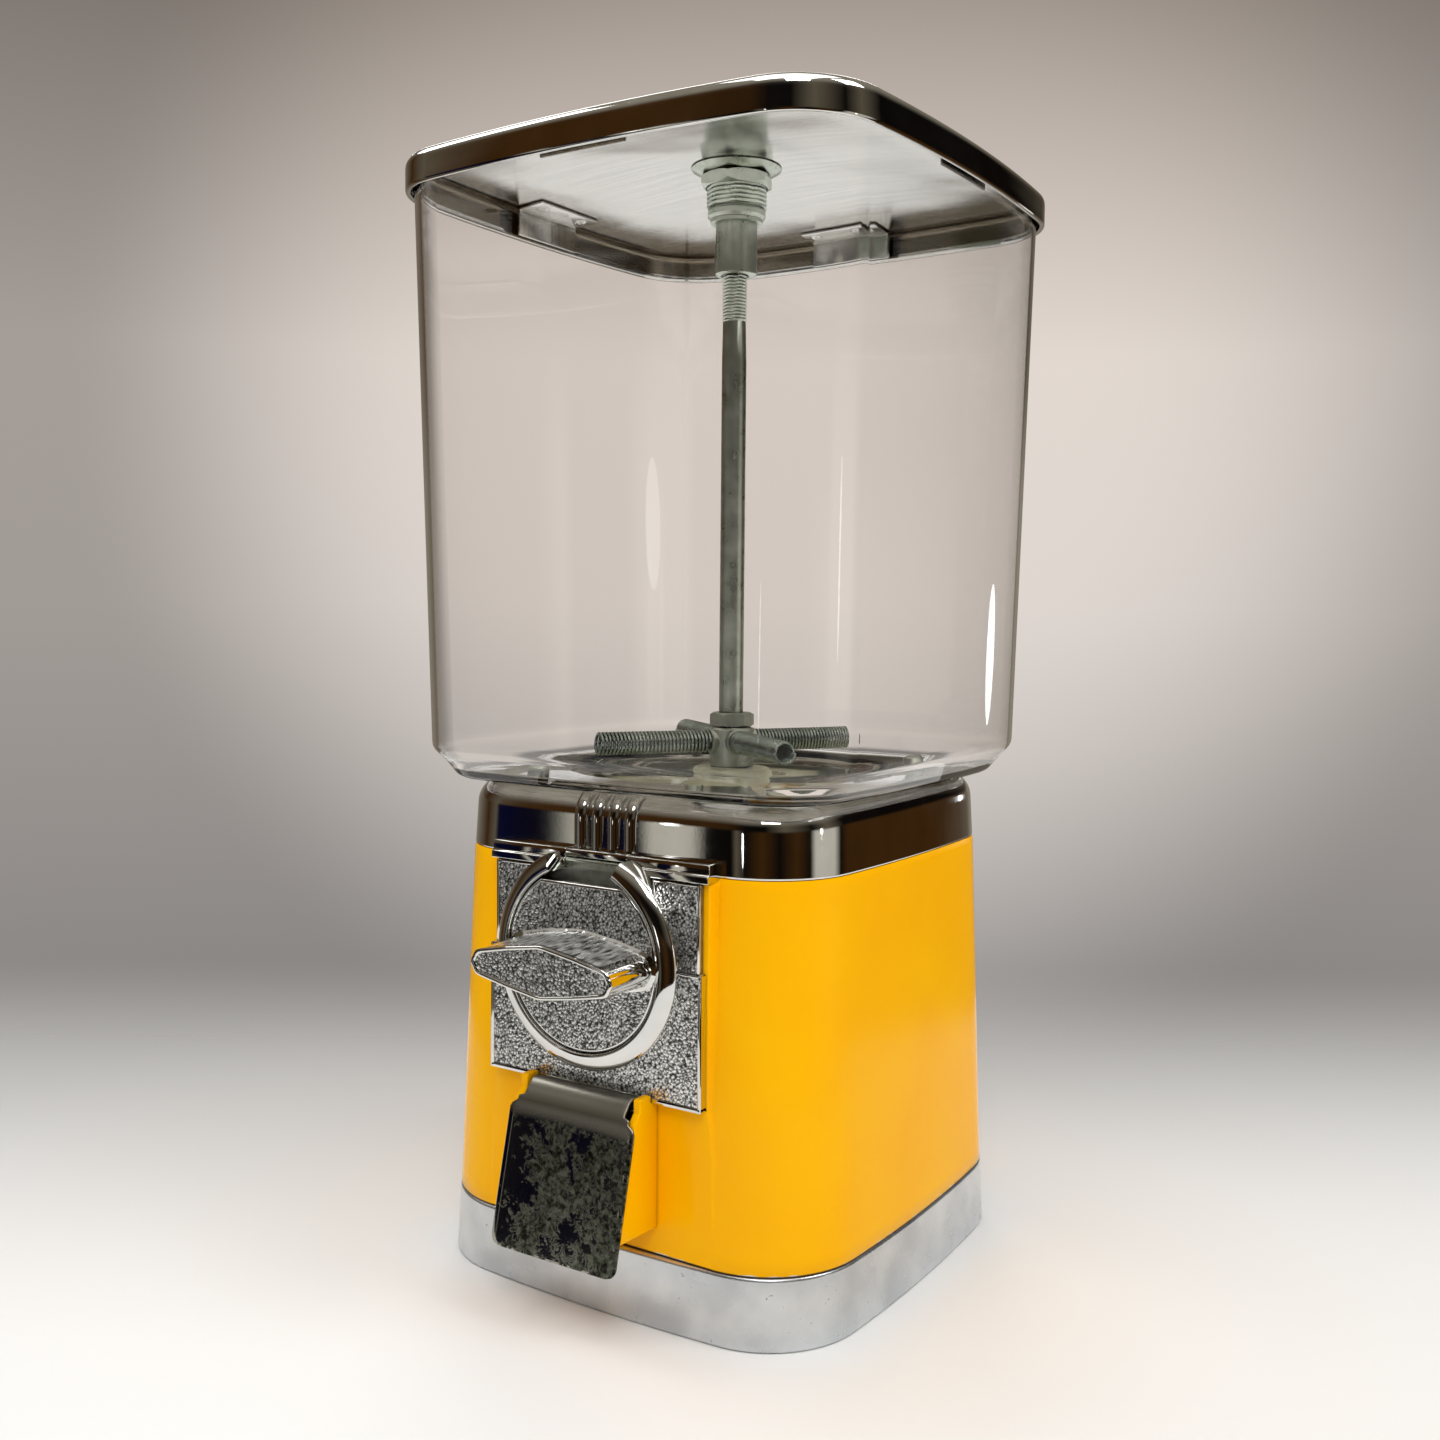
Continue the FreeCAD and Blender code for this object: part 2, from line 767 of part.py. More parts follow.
def make_body_shell():
    body = new_body("body_shell")
    stack(body, [(base_top, body_half, body_corner), (body_top, s.body_top_half, s.body_top_corner)])
    outline = [(-s.panel_half_low, base_top), (s.panel_half_low, base_top),
               (s.panel_half_high, panel_high), (s.pad_half, plate_low),
               (s.pad_half, pad_high), (-s.pad_half, pad_high),
               (-s.pad_half, plate_low), (-s.panel_half_high, panel_high)]
    panel = new_sketch(body, "XZ_Plane", pad_face)
    polygon(panel, outline)
    pocket(body, panel, to_size(TOOL_OVERRUN), backward=True)
    raised = new_sketch(body, "XZ_Plane", pad_face)
    polygon(raised, outline)
    pad(body, raised, pad_face - s.body_top_half + s.body_wall, backward=True)
    floor_run = shoulder_face - pad_face
    rise = shoulder_height - chute_floor_front
    front_low = shoulder_face + rise * tangent(s.flap_tilt) - s.flap_rest_gap
    front_high = shoulder_face - s.flap_rest_gap
    buried = pad_face - s.body_wall
    block = new_sketch(body, "YZ_Plane")
    ear_top = hinge_height + s.hinge_ear_radius
    ear_back = plate_step_face + s.plate_rim_height + s.fit_gap
    polygon(block, [
        (-buried, chute_floor_back - s.chute_floor_wall),
        (-front_low, chute_floor_front - s.chute_floor_wall),
        (-front_high, shoulder_height),
        (-(hinge_face + s.hinge_ear_radius), hinge_height),
        (-(hinge_face + s.hinge_ear_radius), ear_top - s.hinge_ear_radius / 2),
        (-hinge_face, ear_top),
        (-ear_back, ear_top), (-ear_back, plate_low - s.fit_gap),
        (-buried, plate_low - s.fit_gap)])
    pad(body, block, (s.chute_half + s.chute_wall) * 2, middle=True)
    inner = s.body_wall
    stack(body, [(base_top, body_half - inner, body_corner - inner),
                 (body_top, s.body_top_half - inner, s.body_top_corner - inner)], cut=True)
    passage = new_sketch(body, "YZ_Plane")
    inside = -(pad_face - s.body_wall * 3)
    polygon(passage, [
        (inside, chute_floor_back), (-pad_face, chute_floor_back),
        (-(front_low + floor_run), chute_floor_front),
        (-(front_low + floor_run), ear_top + s.hinge_ear_radius),
        (-pad_face, ear_top + s.hinge_ear_radius),
        (-pad_face, chute_roof), (inside, chute_roof)])
    pocket(body, passage, s.chute_half * 2, middle=True)
    window = new_sketch(body, "XZ_Plane", pad_face)
    gap = s.fit_gap
    rectangle(window, -(s.mech_half + gap), dial_height - s.mech_fall - gap,
              s.mech_half + gap, dial_height + s.mech_rise + gap)
    pocket(body, window, s.body_wall * 4)
    pins = new_sketch(body, "YZ_Plane")
    circle(pins, -hinge_face, hinge_height, s.hinge_pin_radius)
    pocket(body, pins, (s.chute_half + s.chute_wall * 2) * 2, middle=True)


def make_collar():
    body = new_body("collar")
    rim = bevel(collar_top, collar_top_half, s.collar_corner, s.collar_round, -1)
    stack(body, [(body_top, collar_half, s.collar_corner)] + rim[::-1])
    wall_top = flange_under - s.collar_inner_drop
    inner_corner = s.collar_corner - s.collar_wall
    shrink = collar_top_half - s.collar_wall - collar_inner_half
    stack(body, [(body_top, collar_half - s.collar_wall, inner_corner),
                 (wall_top, collar_top_half - s.collar_wall, inner_corner),
                 (flange_under, collar_inner_half, inner_corner - shrink)], cut=True)
    lip_outer = s.body_top_half - s.body_wall - s.fit_gap
    lip_corner = s.body_top_corner - s.body_wall - s.fit_gap
    ring_pad(body, body_top - s.lip_height, s.lip_height * 2, lip_outer,
             lip_outer - s.lip_wall, lip_corner, s.lip_wall)
    notch = new_sketch(body, "XY_Plane", body_top - s.lip_height)
    notch_half = s.mech_half + s.fit_gap * 2
    rectangle(notch, -notch_half, -s.body_top_half, notch_half, -(lip_outer - s.lip_wall * 2))
    pocket(body, notch, s.lip_height, backward=True)
    mouth = new_sketch(body, "XY_Plane", collar_top)
    circle(mouth, zero, zero, mouth_radius)
    pocket(body, mouth, s.collar_flange)
    holes = new_sketch(body, "XY_Plane", collar_top)
    for x, y in corner_points(screw_reach):
        circle(holes, x, y, s.screw_radius + s.fit_gap)
    pocket(body, holes, s.collar_flange)
    rib_low = body_top + s.rib_rise
    rib_face = collar_top_half - s.rib_sink
    ribs = new_sketch(body, "XY_Plane", rib_low)
    for index in range(RIBS):
        circle(ribs, s.rib_pitch * (index - (RIBS - 1) / 2), -rib_face, s.rib_radius)
    pad(body, ribs, collar_top - s.rib_drop - rib_low)
    ledge = new_sketch(body, "YZ_Plane")
    buried = -(collar_top_half - s.collar_wall / 2)
    chamfer = s.ledge_round
    polygon(ledge, [
        (buried, body_top), (-(collar_half + s.fit_gap), body_top), (-(collar_half + s.fit_gap), ledge_low),
        (-ledge_face, ledge_low), (-ledge_face, ledge_high - chamfer * 2),
        (-(ledge_face - chamfer), ledge_high), (buried, ledge_high)])
    pad(body, ledge, s.ledge_half * 2, middle=True)
    slot = new_sketch(body, "XZ_Plane", ledge_face)
    rectangle(slot, -s.slot_half, ledge_low, s.slot_half, body_top + s.slot_rise)
    pocket(body, slot, ledge_face - collar_half)


def corner_points(reach):
    return [(-reach, -reach), (reach, -reach), (reach, reach), (-reach, reach)]


def make_canister():
    body = new_body("canister")
    stack(body, [(collar_top, floor_half, s.canister_floor_corner),
                 (foot_top, foot_half, s.canister_corner),
                 (canister_top, s.canister_top_half, s.canister_corner)])
    wall = s.canister_wall
    step = s.canister_floor / s.canister_foot_height
    inner_half = floor_half + s.canister_foot_inset * step - wall
    stack(body, [(floor_top, inner_half, s.canister_floor_corner - wall),
                 (foot_top, foot_half - wall, s.canister_corner - wall),
                 (canister_top, s.canister_top_half - wall, s.canister_corner - wall)], cut=True)
    mouth = new_sketch(body, "XY_Plane", collar_top)
    circle(mouth, zero, zero, mouth_radius)
    pocket(body, mouth, s.canister_floor, backward=True)
    holes = new_sketch(body, "XY_Plane", collar_top)
    for x, y in corner_points(screw_reach):
        circle(holes, x, y, s.screw_radius + s.fit_gap)
    pocket(body, holes, s.canister_floor, backward=True)


def lid_inner_edge():
    return lid_half - s.lid_edge_round - s.lid_sheet / 2


def lid_slope():
    return (crown_under - lid_under) / (lid_inner_edge() - s.lid_crown_half)


def make_lid():
    body = new_body("lid")
    sheet_gap = s.lid_sheet
    turn = s.lid_edge_round
    near = turn * 0.3
    corner = lid_corner
    crown_corner = s.lid_crown_half * 0.9
    stack(body, [(lid_low, lid_half, corner), (lid_edge - turn, lid_half, corner),
                 (lid_edge - near, lid_half - near, corner - near),
                 (lid_edge, lid_half - turn, corner - turn),
                 (crown_top, s.lid_crown_half, crown_corner)])
    stack(body, [(lid_low, lid_half - sheet_gap, corner - sheet_gap),
                 (lid_under - turn, lid_half - sheet_gap, corner - sheet_gap),
                 (lid_under - near, lid_half - near - sheet_gap, corner - near - sheet_gap),
                 (lid_under, lid_inner_edge(), corner - turn - sheet_gap / 2),
                 (crown_under, s.lid_crown_half, crown_corner)], cut=True)
    hem = lid_half - sheet_gap / 2
    ring_pad(body, lid_low, s.lid_hem_height, hem, hem - s.lid_hem, corner - sheet_gap / 2, s.lid_hem)
    hole = new_sketch(body, "XY_Plane", crown_top)
    circle(hole, zero, zero, s.barrel_radius + s.run_gap)
    pocket(body, hole, s.lid_crown)


def make_lid_brackets():
    outer = s.canister_top_half - s.canister_wall - s.bracket_inset
    skin = s.bracket_sheet
    inner = outer - s.bracket_reach
    low = lid_under - s.bracket_drop

    def under(reach):
        return lid_under + (lid_inner_edge() - reach) * lid_slope() - s.fit_gap / 3

    for index, side in enumerate(("front", "right", "back", "left")):
        body = new_body(f"lid_bracket_{side}")
        sketch = new_sketch(body, "YZ_Plane")
        polygon(sketch, [(-outer, low), (-outer, under(outer)), (-inner, under(inner)),
                         (-inner, under(inner) - skin), (-(outer - skin), under(outer - skin) - skin),
                         (-(outer - skin), low)])
        pad(body, sketch, s.bracket_length, middle=True)
        if index:
            place(body, angle=to_size(90 * index))


def make_lock():
    bore = s.tube_radius + s.run_gap
    head_top = crown_top + s.barrel_head
    head_bore = s.plug_head_radius + s.run_gap
    seat = head_top - s.plug_head
    turned("lock_barrel", [
        (bore, barrel_low), (s.barrel_radius, barrel_low), (s.barrel_radius, crown_top),
        (s.barrel_head_radius, crown_top), (s.barrel_head_radius, head_top - s.barrel_head / 2),
        (s.barrel_head_radius - s.barrel_head / 2, head_top), (head_bore, head_top),
        (head_bore, seat), (bore, seat)])
    hole = s.barrel_radius + s.run_gap
    dish = crown_under - s.lock_washer_dish
    rim = s.lock_washer_radius
    turned("lock_washer", [
        (hole, dish), (hole + s.lid_sheet, dish), (rim, crown_under - s.lid_sheet),
        (rim, crown_under), (rim - s.lid_sheet, crown_under), (hole, dish + s.lid_sheet)])
    hex_nut("lock_nut", dish - s.lock_nut_height, s.lock_nut_height, s.lock_nut_flats, hole)
    tube_top = head_top - s.plug_length
    bore_top = tube_low + s.tube_bore_depth
    turned("lock_tube", [
        (s.tube_bore_radius, tube_low), (s.tube_radius, tube_low), (s.tube_radius, tube_top),
        (zero, tube_top), (zero, bore_top), (s.tube_bore_radius, bore_top)])
    plug = turned("lock_plug", [
        (zero, tube_top), (s.tube_radius, tube_top), (s.tube_radius, seat + s.run_gap),
        (s.plug_head_radius, seat + s.run_gap), (s.plug_head_radius, head_top), (zero, head_top)])
    slot = new_sketch(plug, "XY_Plane", head_top)
    rectangle(slot, -s.key_slot_width / 2, -s.key_slot_length / 2,
              s.key_slot_width / 2, s.key_slot_length / 2)
    pocket(plug, slot, s.key_slot_depth)
    ring_top = barrel_low - s.run_gap * 3
    sleeve("lock_ring", ring_top - s.keeper_height, ring_top, s.tube_radius + s.run_gap / 2, s.keeper_radius)


def make_rod():
    well_top = s.well_depth
    sleeve("centre_rod", s.rod_foot, rod_top, zero, s.rod_radius)
    floor_high = well_top + s.well_wall
    washers = []
    for low in (well_top - s.washer_height, floor_high):
        body = sleeve("base_washer", low, low + s.washer_height, rod_clear, s.washer_radius)
        nodes.remove(body)
        washers.append(body)
    group("base_washers", washers)
    nuts = []
    for low in (well_top - s.washer_height - s.nut_height, floor_high + s.washer_height):
        body = hex_nut("base_nut", low, s.nut_height, s.nut_flats, rod_clear)
        nodes.remove(body)
        nuts.append(body)
    group("base_nuts", nuts)
    hex_nut("jam_nut", hub_low + s.hub_height + s.fit_gap, s.jam_nut_height, s.nut_flats, rod_clear)


def make_agitator_hub():
    body = sleeve("agitator_hub", hub_low, hub_low + s.hub_height, zero, s.hub_radius)
    for plane in ("YZ_Plane", "XZ_Plane"):
        for radius, reach in ((s.arm_seat_radius, s.arm_seat), (s.arm_stud_radius, s.arm_stud_length)):
            arm = new_sketch(body, plane)
            circle(arm, zero, arm_level, radius)
            pad(body, arm, reach * 2, middle=True)
    bore = new_sketch(body, "XY_Plane", hub_low)
    circle(bore, zero, zero, rod_clear)
    pocket(body, bore, s.hub_height, backward=True)
    place(body, angle=s.agitator_angle)


# Wound wire: a helix along +X drawn as pairs of arcs, one pair to each half turn

def arc_from(start, direction, end):
    chord = end - start
    along = FreeCAD.Vector(chord).normalize()
    aside = direction - along * direction.dot(along)
    if aside.Length < 1e-9:
        return Part.LineSegment(start, end).toShape()
    bend = math.atan2(aside.Length, direction.dot(along))
    middle = start + chord * 0.5 + aside.normalize() * (chord.Length / 2 * math.tan(bend / 2))
    return Part.Arc(start, middle, end).toShape()


def arc_pair(start, leaving, end, arriving):
    span = end - start
    both = leaving + arriving
    spread = 2 * (1 - leaving.dot(arriving))
    reach = (-span.dot(both) + math.sqrt(span.dot(both) ** 2 + spread * span.dot(span))) / spread
    middle = (start + end + (leaving - arriving) * reach) * 0.5
    first = arc_from(start, leaving, middle)
    last = arc_from(end, arriving * -1, middle)
    return [first, last]


def coil(seat, radius, wire, pitch, curls, rise):
    lead = wire
    entry = seat + lead + rise

    def point(angle):
        along = entry + pitch * (angle - math.pi / 2) / (2 * math.pi)
        return FreeCAD.Vector(along, radius * math.cos(angle), radius * math.sin(angle))

    def heading(angle):
        along = pitch / (2 * math.pi)
        return FreeCAD.Vector(along, -radius * math.sin(angle), radius * math.cos(angle)).normalize()

    foot = FreeCAD.Vector(seat, radius, 0)
    forward = FreeCAD.Vector(1, 0, 0)
    bend = foot + forward * lead
    edges = [Part.LineSegment(foot, bend).toShape()]
    angle = math.pi / 2
    edges += arc_pair(bend, forward, point(angle), heading(angle))
    for half in range(2 * curls):
        following = angle + math.pi
        edges += arc_pair(point(angle), heading(angle), point(following), heading(following))
        angle = following
    last = point(angle) + heading(angle) * wire
    edges.append(Part.LineSegment(point(angle), last).toShape())
    path = Part.Wire(Part.__sortEdges__(edges))
    report_gap(path, wire, 2 * math.pi * radius)
    section = Part.Wire(Part.Circle(foot, forward, wire / 2).toShape())
    shell = Part.BRepOffsetAPI.MakePipeShell(path)
    shell.add(section)
    shell.build()
    shell.makeSolid()
    return shell.shape()


def report_gap(path, wire, turn_length):
    step = wire / 2
    points = path.discretize(Distance=step)
    skip = int(turn_length / 2 / step)
    least = min((a - b).Length for i, a in enumerate(points) for b in points[i + skip:])
    print(f"coil of {wire} mm wire: least gap to itself {least - wire:.2f} mm")


def solid_node(label, shape):
    item = doc.addObject("Part::Feature", label)
    item.Label = label
    item.Shape = shape
    nodes.append(item)
    return item


def make_springs():
    shape = coil(s.arm_seat.value, s.spring_radius.value, s.spring_wire.value,
                 s.spring_pitch.value, AGITATOR_CURLS, s.spring_entry.value)
    for index in range(4):
        item = solid_node(f"agitator_spring_{index + 1}", shape)
        place(item, z=arm_level, angle=s.agitator_angle + 90 * index)


def make_wheel():
    body = turned("dispensing_wheel", [
        (rod_clear, wheel_low), (wheel_radius, wheel_low), (wheel_radius, wheel_top),
        (s.boss_radius, wheel_top), (s.boss_top_radius, hub_low), (rod_clear, hub_low)])
    holes = new_sketch(body, "XY_Plane", wheel_top)
    for index in range(POCKETS):
        angle = 2 * math.pi * (index / POCKETS + 1 / 4)
        circle(holes, s.pocket_circle * math.cos(angle), s.pocket_circle * math.sin(angle), s.pocket_radius)
    pocket(body, holes, s.wheel_thick)
    tooth = new_sketch(body, "XZ_Plane", crown_radius - s.crown_face / 2)
    slope = tangent(s.tooth_slope)
    middle = tooth_pitch * s.tooth_share / 2
    tip = middle - s.tooth_rise * slope
    root = middle + (wheel_low - crown_pitch_height) * slope
    tip_height = crown_pitch_height - s.tooth_rise
    polygon(tooth, [(-root, wheel_low), (-tip, tip_height), (tip, tip_height), (root, wheel_low)])
    feature = pad(body, tooth, s.crown_face)
    repeat_round(body, feature, CROWN_TEETH)
    place(body, angle=to_size(180 / CROWN_TEETH))


def make_wheel_housing():
    pedestal = pedestal_radius
    skin = s.housing_floor
    body = turned("wheel_housing", [
        (rod_clear, pedestal_top - skin), (pedestal - skin, pedestal_top - skin),
        (pedestal - skin, housing_low), (housing_outer, housing_low), (housing_outer, flange_under),
        (housing_inner, flange_under), (housing_inner, lower_floor_top), (pedestal, lower_floor_top),
        (pedestal, pedestal_top), (rod_clear, pedestal_top)])
    ears = new_sketch(body, "XY_Plane", flange_under)
    for x, y in corner_points(screw_reach):
        circle(ears, x, y, s.ear_radius)
    pad(body, ears, s.ear_depth, backward=True)
    bores = new_sketch(body, "XY_Plane", flange_under)
    for x, y in corner_points(screw_reach):
        circle(bores, x, y, s.screw_radius + s.run_gap / 2)
    pocket(body, bores, s.screw_bite)
    outlet = new_sketch(body, "XY_Plane", pedestal_top)
    circle(outlet, zero, -s.pocket_circle, s.outlet_radius)
    pocket(body, outlet, skin)
    window = new_sketch(body, "XY_Plane", housing_low)
    back = -(pedestal_radius + s.thrust_gap)
    half = gear_pitch_radius + s.tooth_rise + s.window_gap
    rectangle(window, -half, -(housing_outer + s.housing_wall), half, back)
    pocket(body, window, wheel_low + s.thrust_gap - housing_low, backward=True)
    lugs = new_sketch(body, "XY_Plane", housing_low)
    for x in (-s.lug_screw_x, s.lug_screw_x):
        circle(lugs, x, -s.lug_screw_face, s.mech_screw_radius + s.run_gap / 2)
    pocket(body, lugs, s.housing_floor, backward=True)


def make_guard():
    body = new_body("outlet_guard")
    sketch = new_sketch(body, "YZ_Plane")
    low = wheel_top + s.guard_lift
    high = low + s.guard_sheet
    foot = mouth_radius
    front = mouth_radius + s.guard_foot
    back = s.pocket_circle - s.guard_reach
    polygon(sketch, [(-front, low), (-back, low), (-back, high),
                     (-foot, high), (-foot, flange_under), (-front, flange_under)])
    pad(body, sketch, s.guard_half * 2, middle=True)


def make_inner_chute():
    body = new_body("inner_chute")
    wall = s.tunnel_wall
    half = s.chute_half - s.tunnel_inset
    mouth = pad_face - s.tunnel_setback
    tunnel_back = s.pocket_circle - s.outlet_radius - s.tunnel_margin
    tunnel_front = s.pocket_circle + s.outlet_radius + s.tunnel_margin
    heel = chute_floor_back + s.tunnel_heel_rise
    brow = chute_roof + s.tunnel_brow_rise
    gap = s.tunnel_gap
    mouth_low = chute_floor_back + gap
    mouth_high = chute_roof - gap
    outer = new_sketch(body, "YZ_Plane")
    polygon(outer, [(-tunnel_back, heel), (-mouth, mouth_low), (-mouth, mouth_high),
                    (-tunnel_front, brow), (-tunnel_front, housing_low),
                    (-tunnel_back, housing_low)])
    pad(body, outer, (half + wall) * 2, middle=True)
    lugs = new_sketch(body, "XY_Plane", housing_low)
    reach = half + s.lug_reach
    rectangle(lugs, -reach, -s.lug_front, reach, -s.lug_back)
    pad(body, lugs, s.lug_sheet, backward=True)
    inner = new_sketch(body, "YZ_Plane")
    run = mouth - tunnel_back
    fall = (heel - mouth_low) / run
    far = mouth + wall
    slant = (brow - mouth_high) / (mouth - tunnel_front)
    back = tunnel_back + wall
    front = tunnel_front - wall
    lift = wall * 1.1
    polygon(inner, [
        (-back, heel - fall * wall + lift), (-far, mouth_low - fall * wall + lift),
        (-far, mouth_high - slant * wall - lift), (-front, brow + slant * wall - lift),
        (-front, housing_low + wall), (-back, housing_low + wall)])
    pocket(body, inner, half * 2, middle=True)
    holes = new_sketch(body, "XY_Plane", housing_low)
    for x in (-s.lug_screw_x, s.lug_screw_x):
        circle(holes, x, -s.lug_screw_face, s.mech_screw_radius + s.fit_gap)
    pocket(body, holes, s.lug_sheet)


def make_flap():
    body = new_body("flap")
    neck_half = s.chute_half - s.fit_gap * 2
    knuckle = new_sketch(body, "YZ_Plane")
    circle(knuckle, -hinge_face, hinge_height, s.hinge_knuckle_radius)
    pad(body, knuckle, neck_half * 2, middle=True)
    skin = s.flap_sheet
    crest = hinge_height + s.hinge_knuckle_radius
    shoulder = shoulder_face + skin
    level = shoulder_height
    bend = hinge_face + s.hinge_knuckle_radius
    fold = hinge_face + s.hinge_knuckle_radius * 2
    neck = new_sketch(body, "YZ_Plane")
    polygon(neck, [
        (-hinge_face, crest), (-bend, crest - skin), (-fold, level + skin * 2.6),
        (-shoulder, level), (-(shoulder - skin), level - skin * 1.6), (-(fold - skin), level + skin * 1.6),
        (-(bend - skin), crest - skin * 2), (-hinge_face, crest - skin)])
    pad(body, neck, neck_half * 2, middle=True)
    plate = new_sketch(body, "XZ_Plane", shoulder_face, shoulder_height, s.flap_tilt)
    rounded_rectangle(plate, -s.flap_half, -s.flap_length, s.flap_half, skin / 2, s.flap_corner)
    pad(body, plate, skin)
    bore = new_sketch(body, "YZ_Plane")
    circle(bore, -hinge_face, hinge_height, s.hinge_pin_radius + s.run_gap)
    pocket(body, bore, s.chute_half * 2, middle=True)
    pin = new_body("flap_pin")
    rod = new_sketch(pin, "YZ_Plane")
    circle(rod, -hinge_face, hinge_height, s.hinge_pin_radius)
    pad(pin, rod, (s.chute_half + s.chute_wall + s.hinge_pin_proud) * 2, middle=True)


def make_coin_plate():
    body = new_body("coin_plate")
    thick = plate_face - pad_face
    slab = new_sketch(body, "XZ_Plane", pad_face)
    rectangle(slab, -s.plate_half, plate_low, s.plate_half, pad_high)
    pad(body, slab, thick)
    step = new_sketch(body, "XZ_Plane", pad_face)
    rectangle(step, -s.plate_step_half, plate_low, s.plate_step_half, plate_step)
    pad(body, step, plate_step_face - pad_face)
    rim = s.plate_rim
    inside = s.plate_step_half - rim
    edge = s.plate_step_half
    border = new_sketch(body, "XZ_Plane", plate_step_face)
    polygon(border, [
        (-edge, plate_low), (edge, plate_low), (edge, plate_step), (inside, plate_step),
        (inside, plate_low + rim), (-inside, plate_low + rim), (-inside, plate_step),
        (-edge, plate_step)])
    pad(body, border, s.plate_rim_height)
    strips = new_sketch(body, "XZ_Plane", plate_face)
    rectangle(strips, s.plate_half - rim, plate_step, s.plate_half, pad_high)
    rectangle(strips, -s.plate_half, plate_step, rim - s.plate_half, pad_high)
    pad(body, strips, s.plate_rim_height)
    spigot = new_sketch(body, "XZ_Plane", pad_face)
    rectangle(spigot, -s.mech_half, dial_height - s.mech_fall, s.mech_half, dial_height + s.mech_rise)
    pad(body, spigot, pad_face - plate_back, backward=True)
    ring = new_sketch(body, "YZ_Plane", up=dial_height)
    bore = s.disc_radius + s.disc_gap
    lip = s.ring_lip_radius
    polygon(ring, [
        (-plate_face, bore), (-ring_face, bore), (-ring_face, lip),
        (-(ring_face - s.plate_rim), lip + s.plate_rim), (-plate_face, s.ring_outer_radius)])
    revolve(body, ring, "H_Axis")
    dish = new_sketch(body, "XZ_Plane", ring_face)
    circle(dish, zero, dial_height, bore)
    pocket(body, dish, ring_face - plate_face)
    hole = new_sketch(body, "XZ_Plane", plate_face)
    circle(hole, zero, dial_height, s.carrier_radius + s.disc_gap)
    pocket(body, hole, plate_face - plate_back)
    opening = new_sketch(body, "XZ_Plane", ring_face)
    half = s.ring_open_half
    rectangle(opening, -half, dial_height + half, half, pad_high + s.ring_outer_radius)
    pocket(body, opening, ring_face - plate_face)
    crest = new_sketch(body, "XZ_Plane", ring_face)
    rectangle(crest, -s.ring_outer_radius, pad_high, s.ring_outer_radius, pad_high + s.ring_outer_radius)
    pocket(body, crest, ring_face - plate_back)
    pilots = new_sketch(body, "XZ_Plane", plate_back)
    for x, z in mech_screw_points():
        circle(pilots, x, z, s.mech_screw_radius + s.run_gap / 2)
    pocket(body, pilots, s.mech_screw_bite, backward=True)


def mech_screw_points():
    points = []
    for x in (-s.mech_screw_x, s.mech_screw_x):
        for z in (-s.mech_screw_z, s.mech_screw_z):
            points.append((x, dial_height + z))
    return points


def make_mech_housing():
    body = new_body("mech_housing")
    low = dial_height - s.mech_fall
    high = dial_height + s.mech_rise
    wall = s.mech_wall
    depth = plate_back - mech_back
    box = new_sketch(body, "XZ_Plane", mech_back)
    rectangle(box, -s.mech_half, low, s.mech_half, high)
    pad(body, box, depth)
    cavity = new_sketch(body, "XZ_Plane", plate_back)
    rectangle(cavity, wall - s.mech_half, low + wall, s.mech_half - wall, high - wall)
    pocket(body, cavity, depth - wall)
    posts = new_sketch(body, "XZ_Plane", mech_back)
    for x, z in mech_screw_points():
        circle(posts, x, z, s.mech_post_radius)
    pad(body, posts, depth)
    ears = new_sketch(body, "XZ_Plane", plate_back - s.mech_ear_setback - s.mech_ear_thick)
    reach = s.mech_half + s.mech_ear
    tall = s.mech_ear_half_height
    for left, right in ((-reach, wall / 2 - s.mech_half), (s.mech_half - wall / 2, reach)):
        rectangle(ears, left, dial_height - tall, right, dial_height + tall)
    pad(body, ears, s.mech_ear_thick)
    holes = new_sketch(body, "XZ_Plane", plate_back)
    for x, z in mech_screw_points():
        circle(holes, x, z, s.mech_screw_radius + s.fit_gap)
    pocket(body, holes, depth)
    bearing = new_sketch(body, "XZ_Plane", plate_back)
    circle(bearing, zero, dial_height, s.shaft_radius + s.run_gap)
    pocket(body, bearing, depth)
    pin = new_sketch(body, "XZ_Plane", plate_back)
    circle(pin, s.pawl_x, dial_height + s.pawl_z, s.pawl_pin_radius)
    pocket(body, pin, depth)
    coins = new_sketch(body, "XY_Plane", low)
    rectangle(coins, -s.coin_exit_half, -plate_back, s.coin_exit_half, -(mech_back + wall))
    pocket(body, coins, wall, backward=True)


def forward_disc(label, back, face, outer, inner):
    body = new_body(label)
    sketch = new_sketch(body, "XY_Plane", back)
    circle(sketch, zero, zero, outer)
    pad(body, sketch, face - back)
    if inner:
        bore = new_sketch(body, "XY_Plane", back)
        circle(bore, zero, zero, inner)
        pocket(body, bore, face - back, backward=True)
    face_forward(body)
    return body


def grip_outline(inset):
    length = s.grip_half_length - inset
    shoulder = s.grip_shoulder - inset / 2
    wide = s.grip_half_width - inset
    neck = s.grip_shoulder_width - inset
    tip = s.grip_tip_width - inset / 2
    right = [(length, tip), (shoulder, neck), (zero, wide)]
    left = [(-x, y) for x, y in reversed(right[:-1])]
    upper = right + left
    lower = [(x, -y) for x, y in reversed(upper)]
    return upper + lower


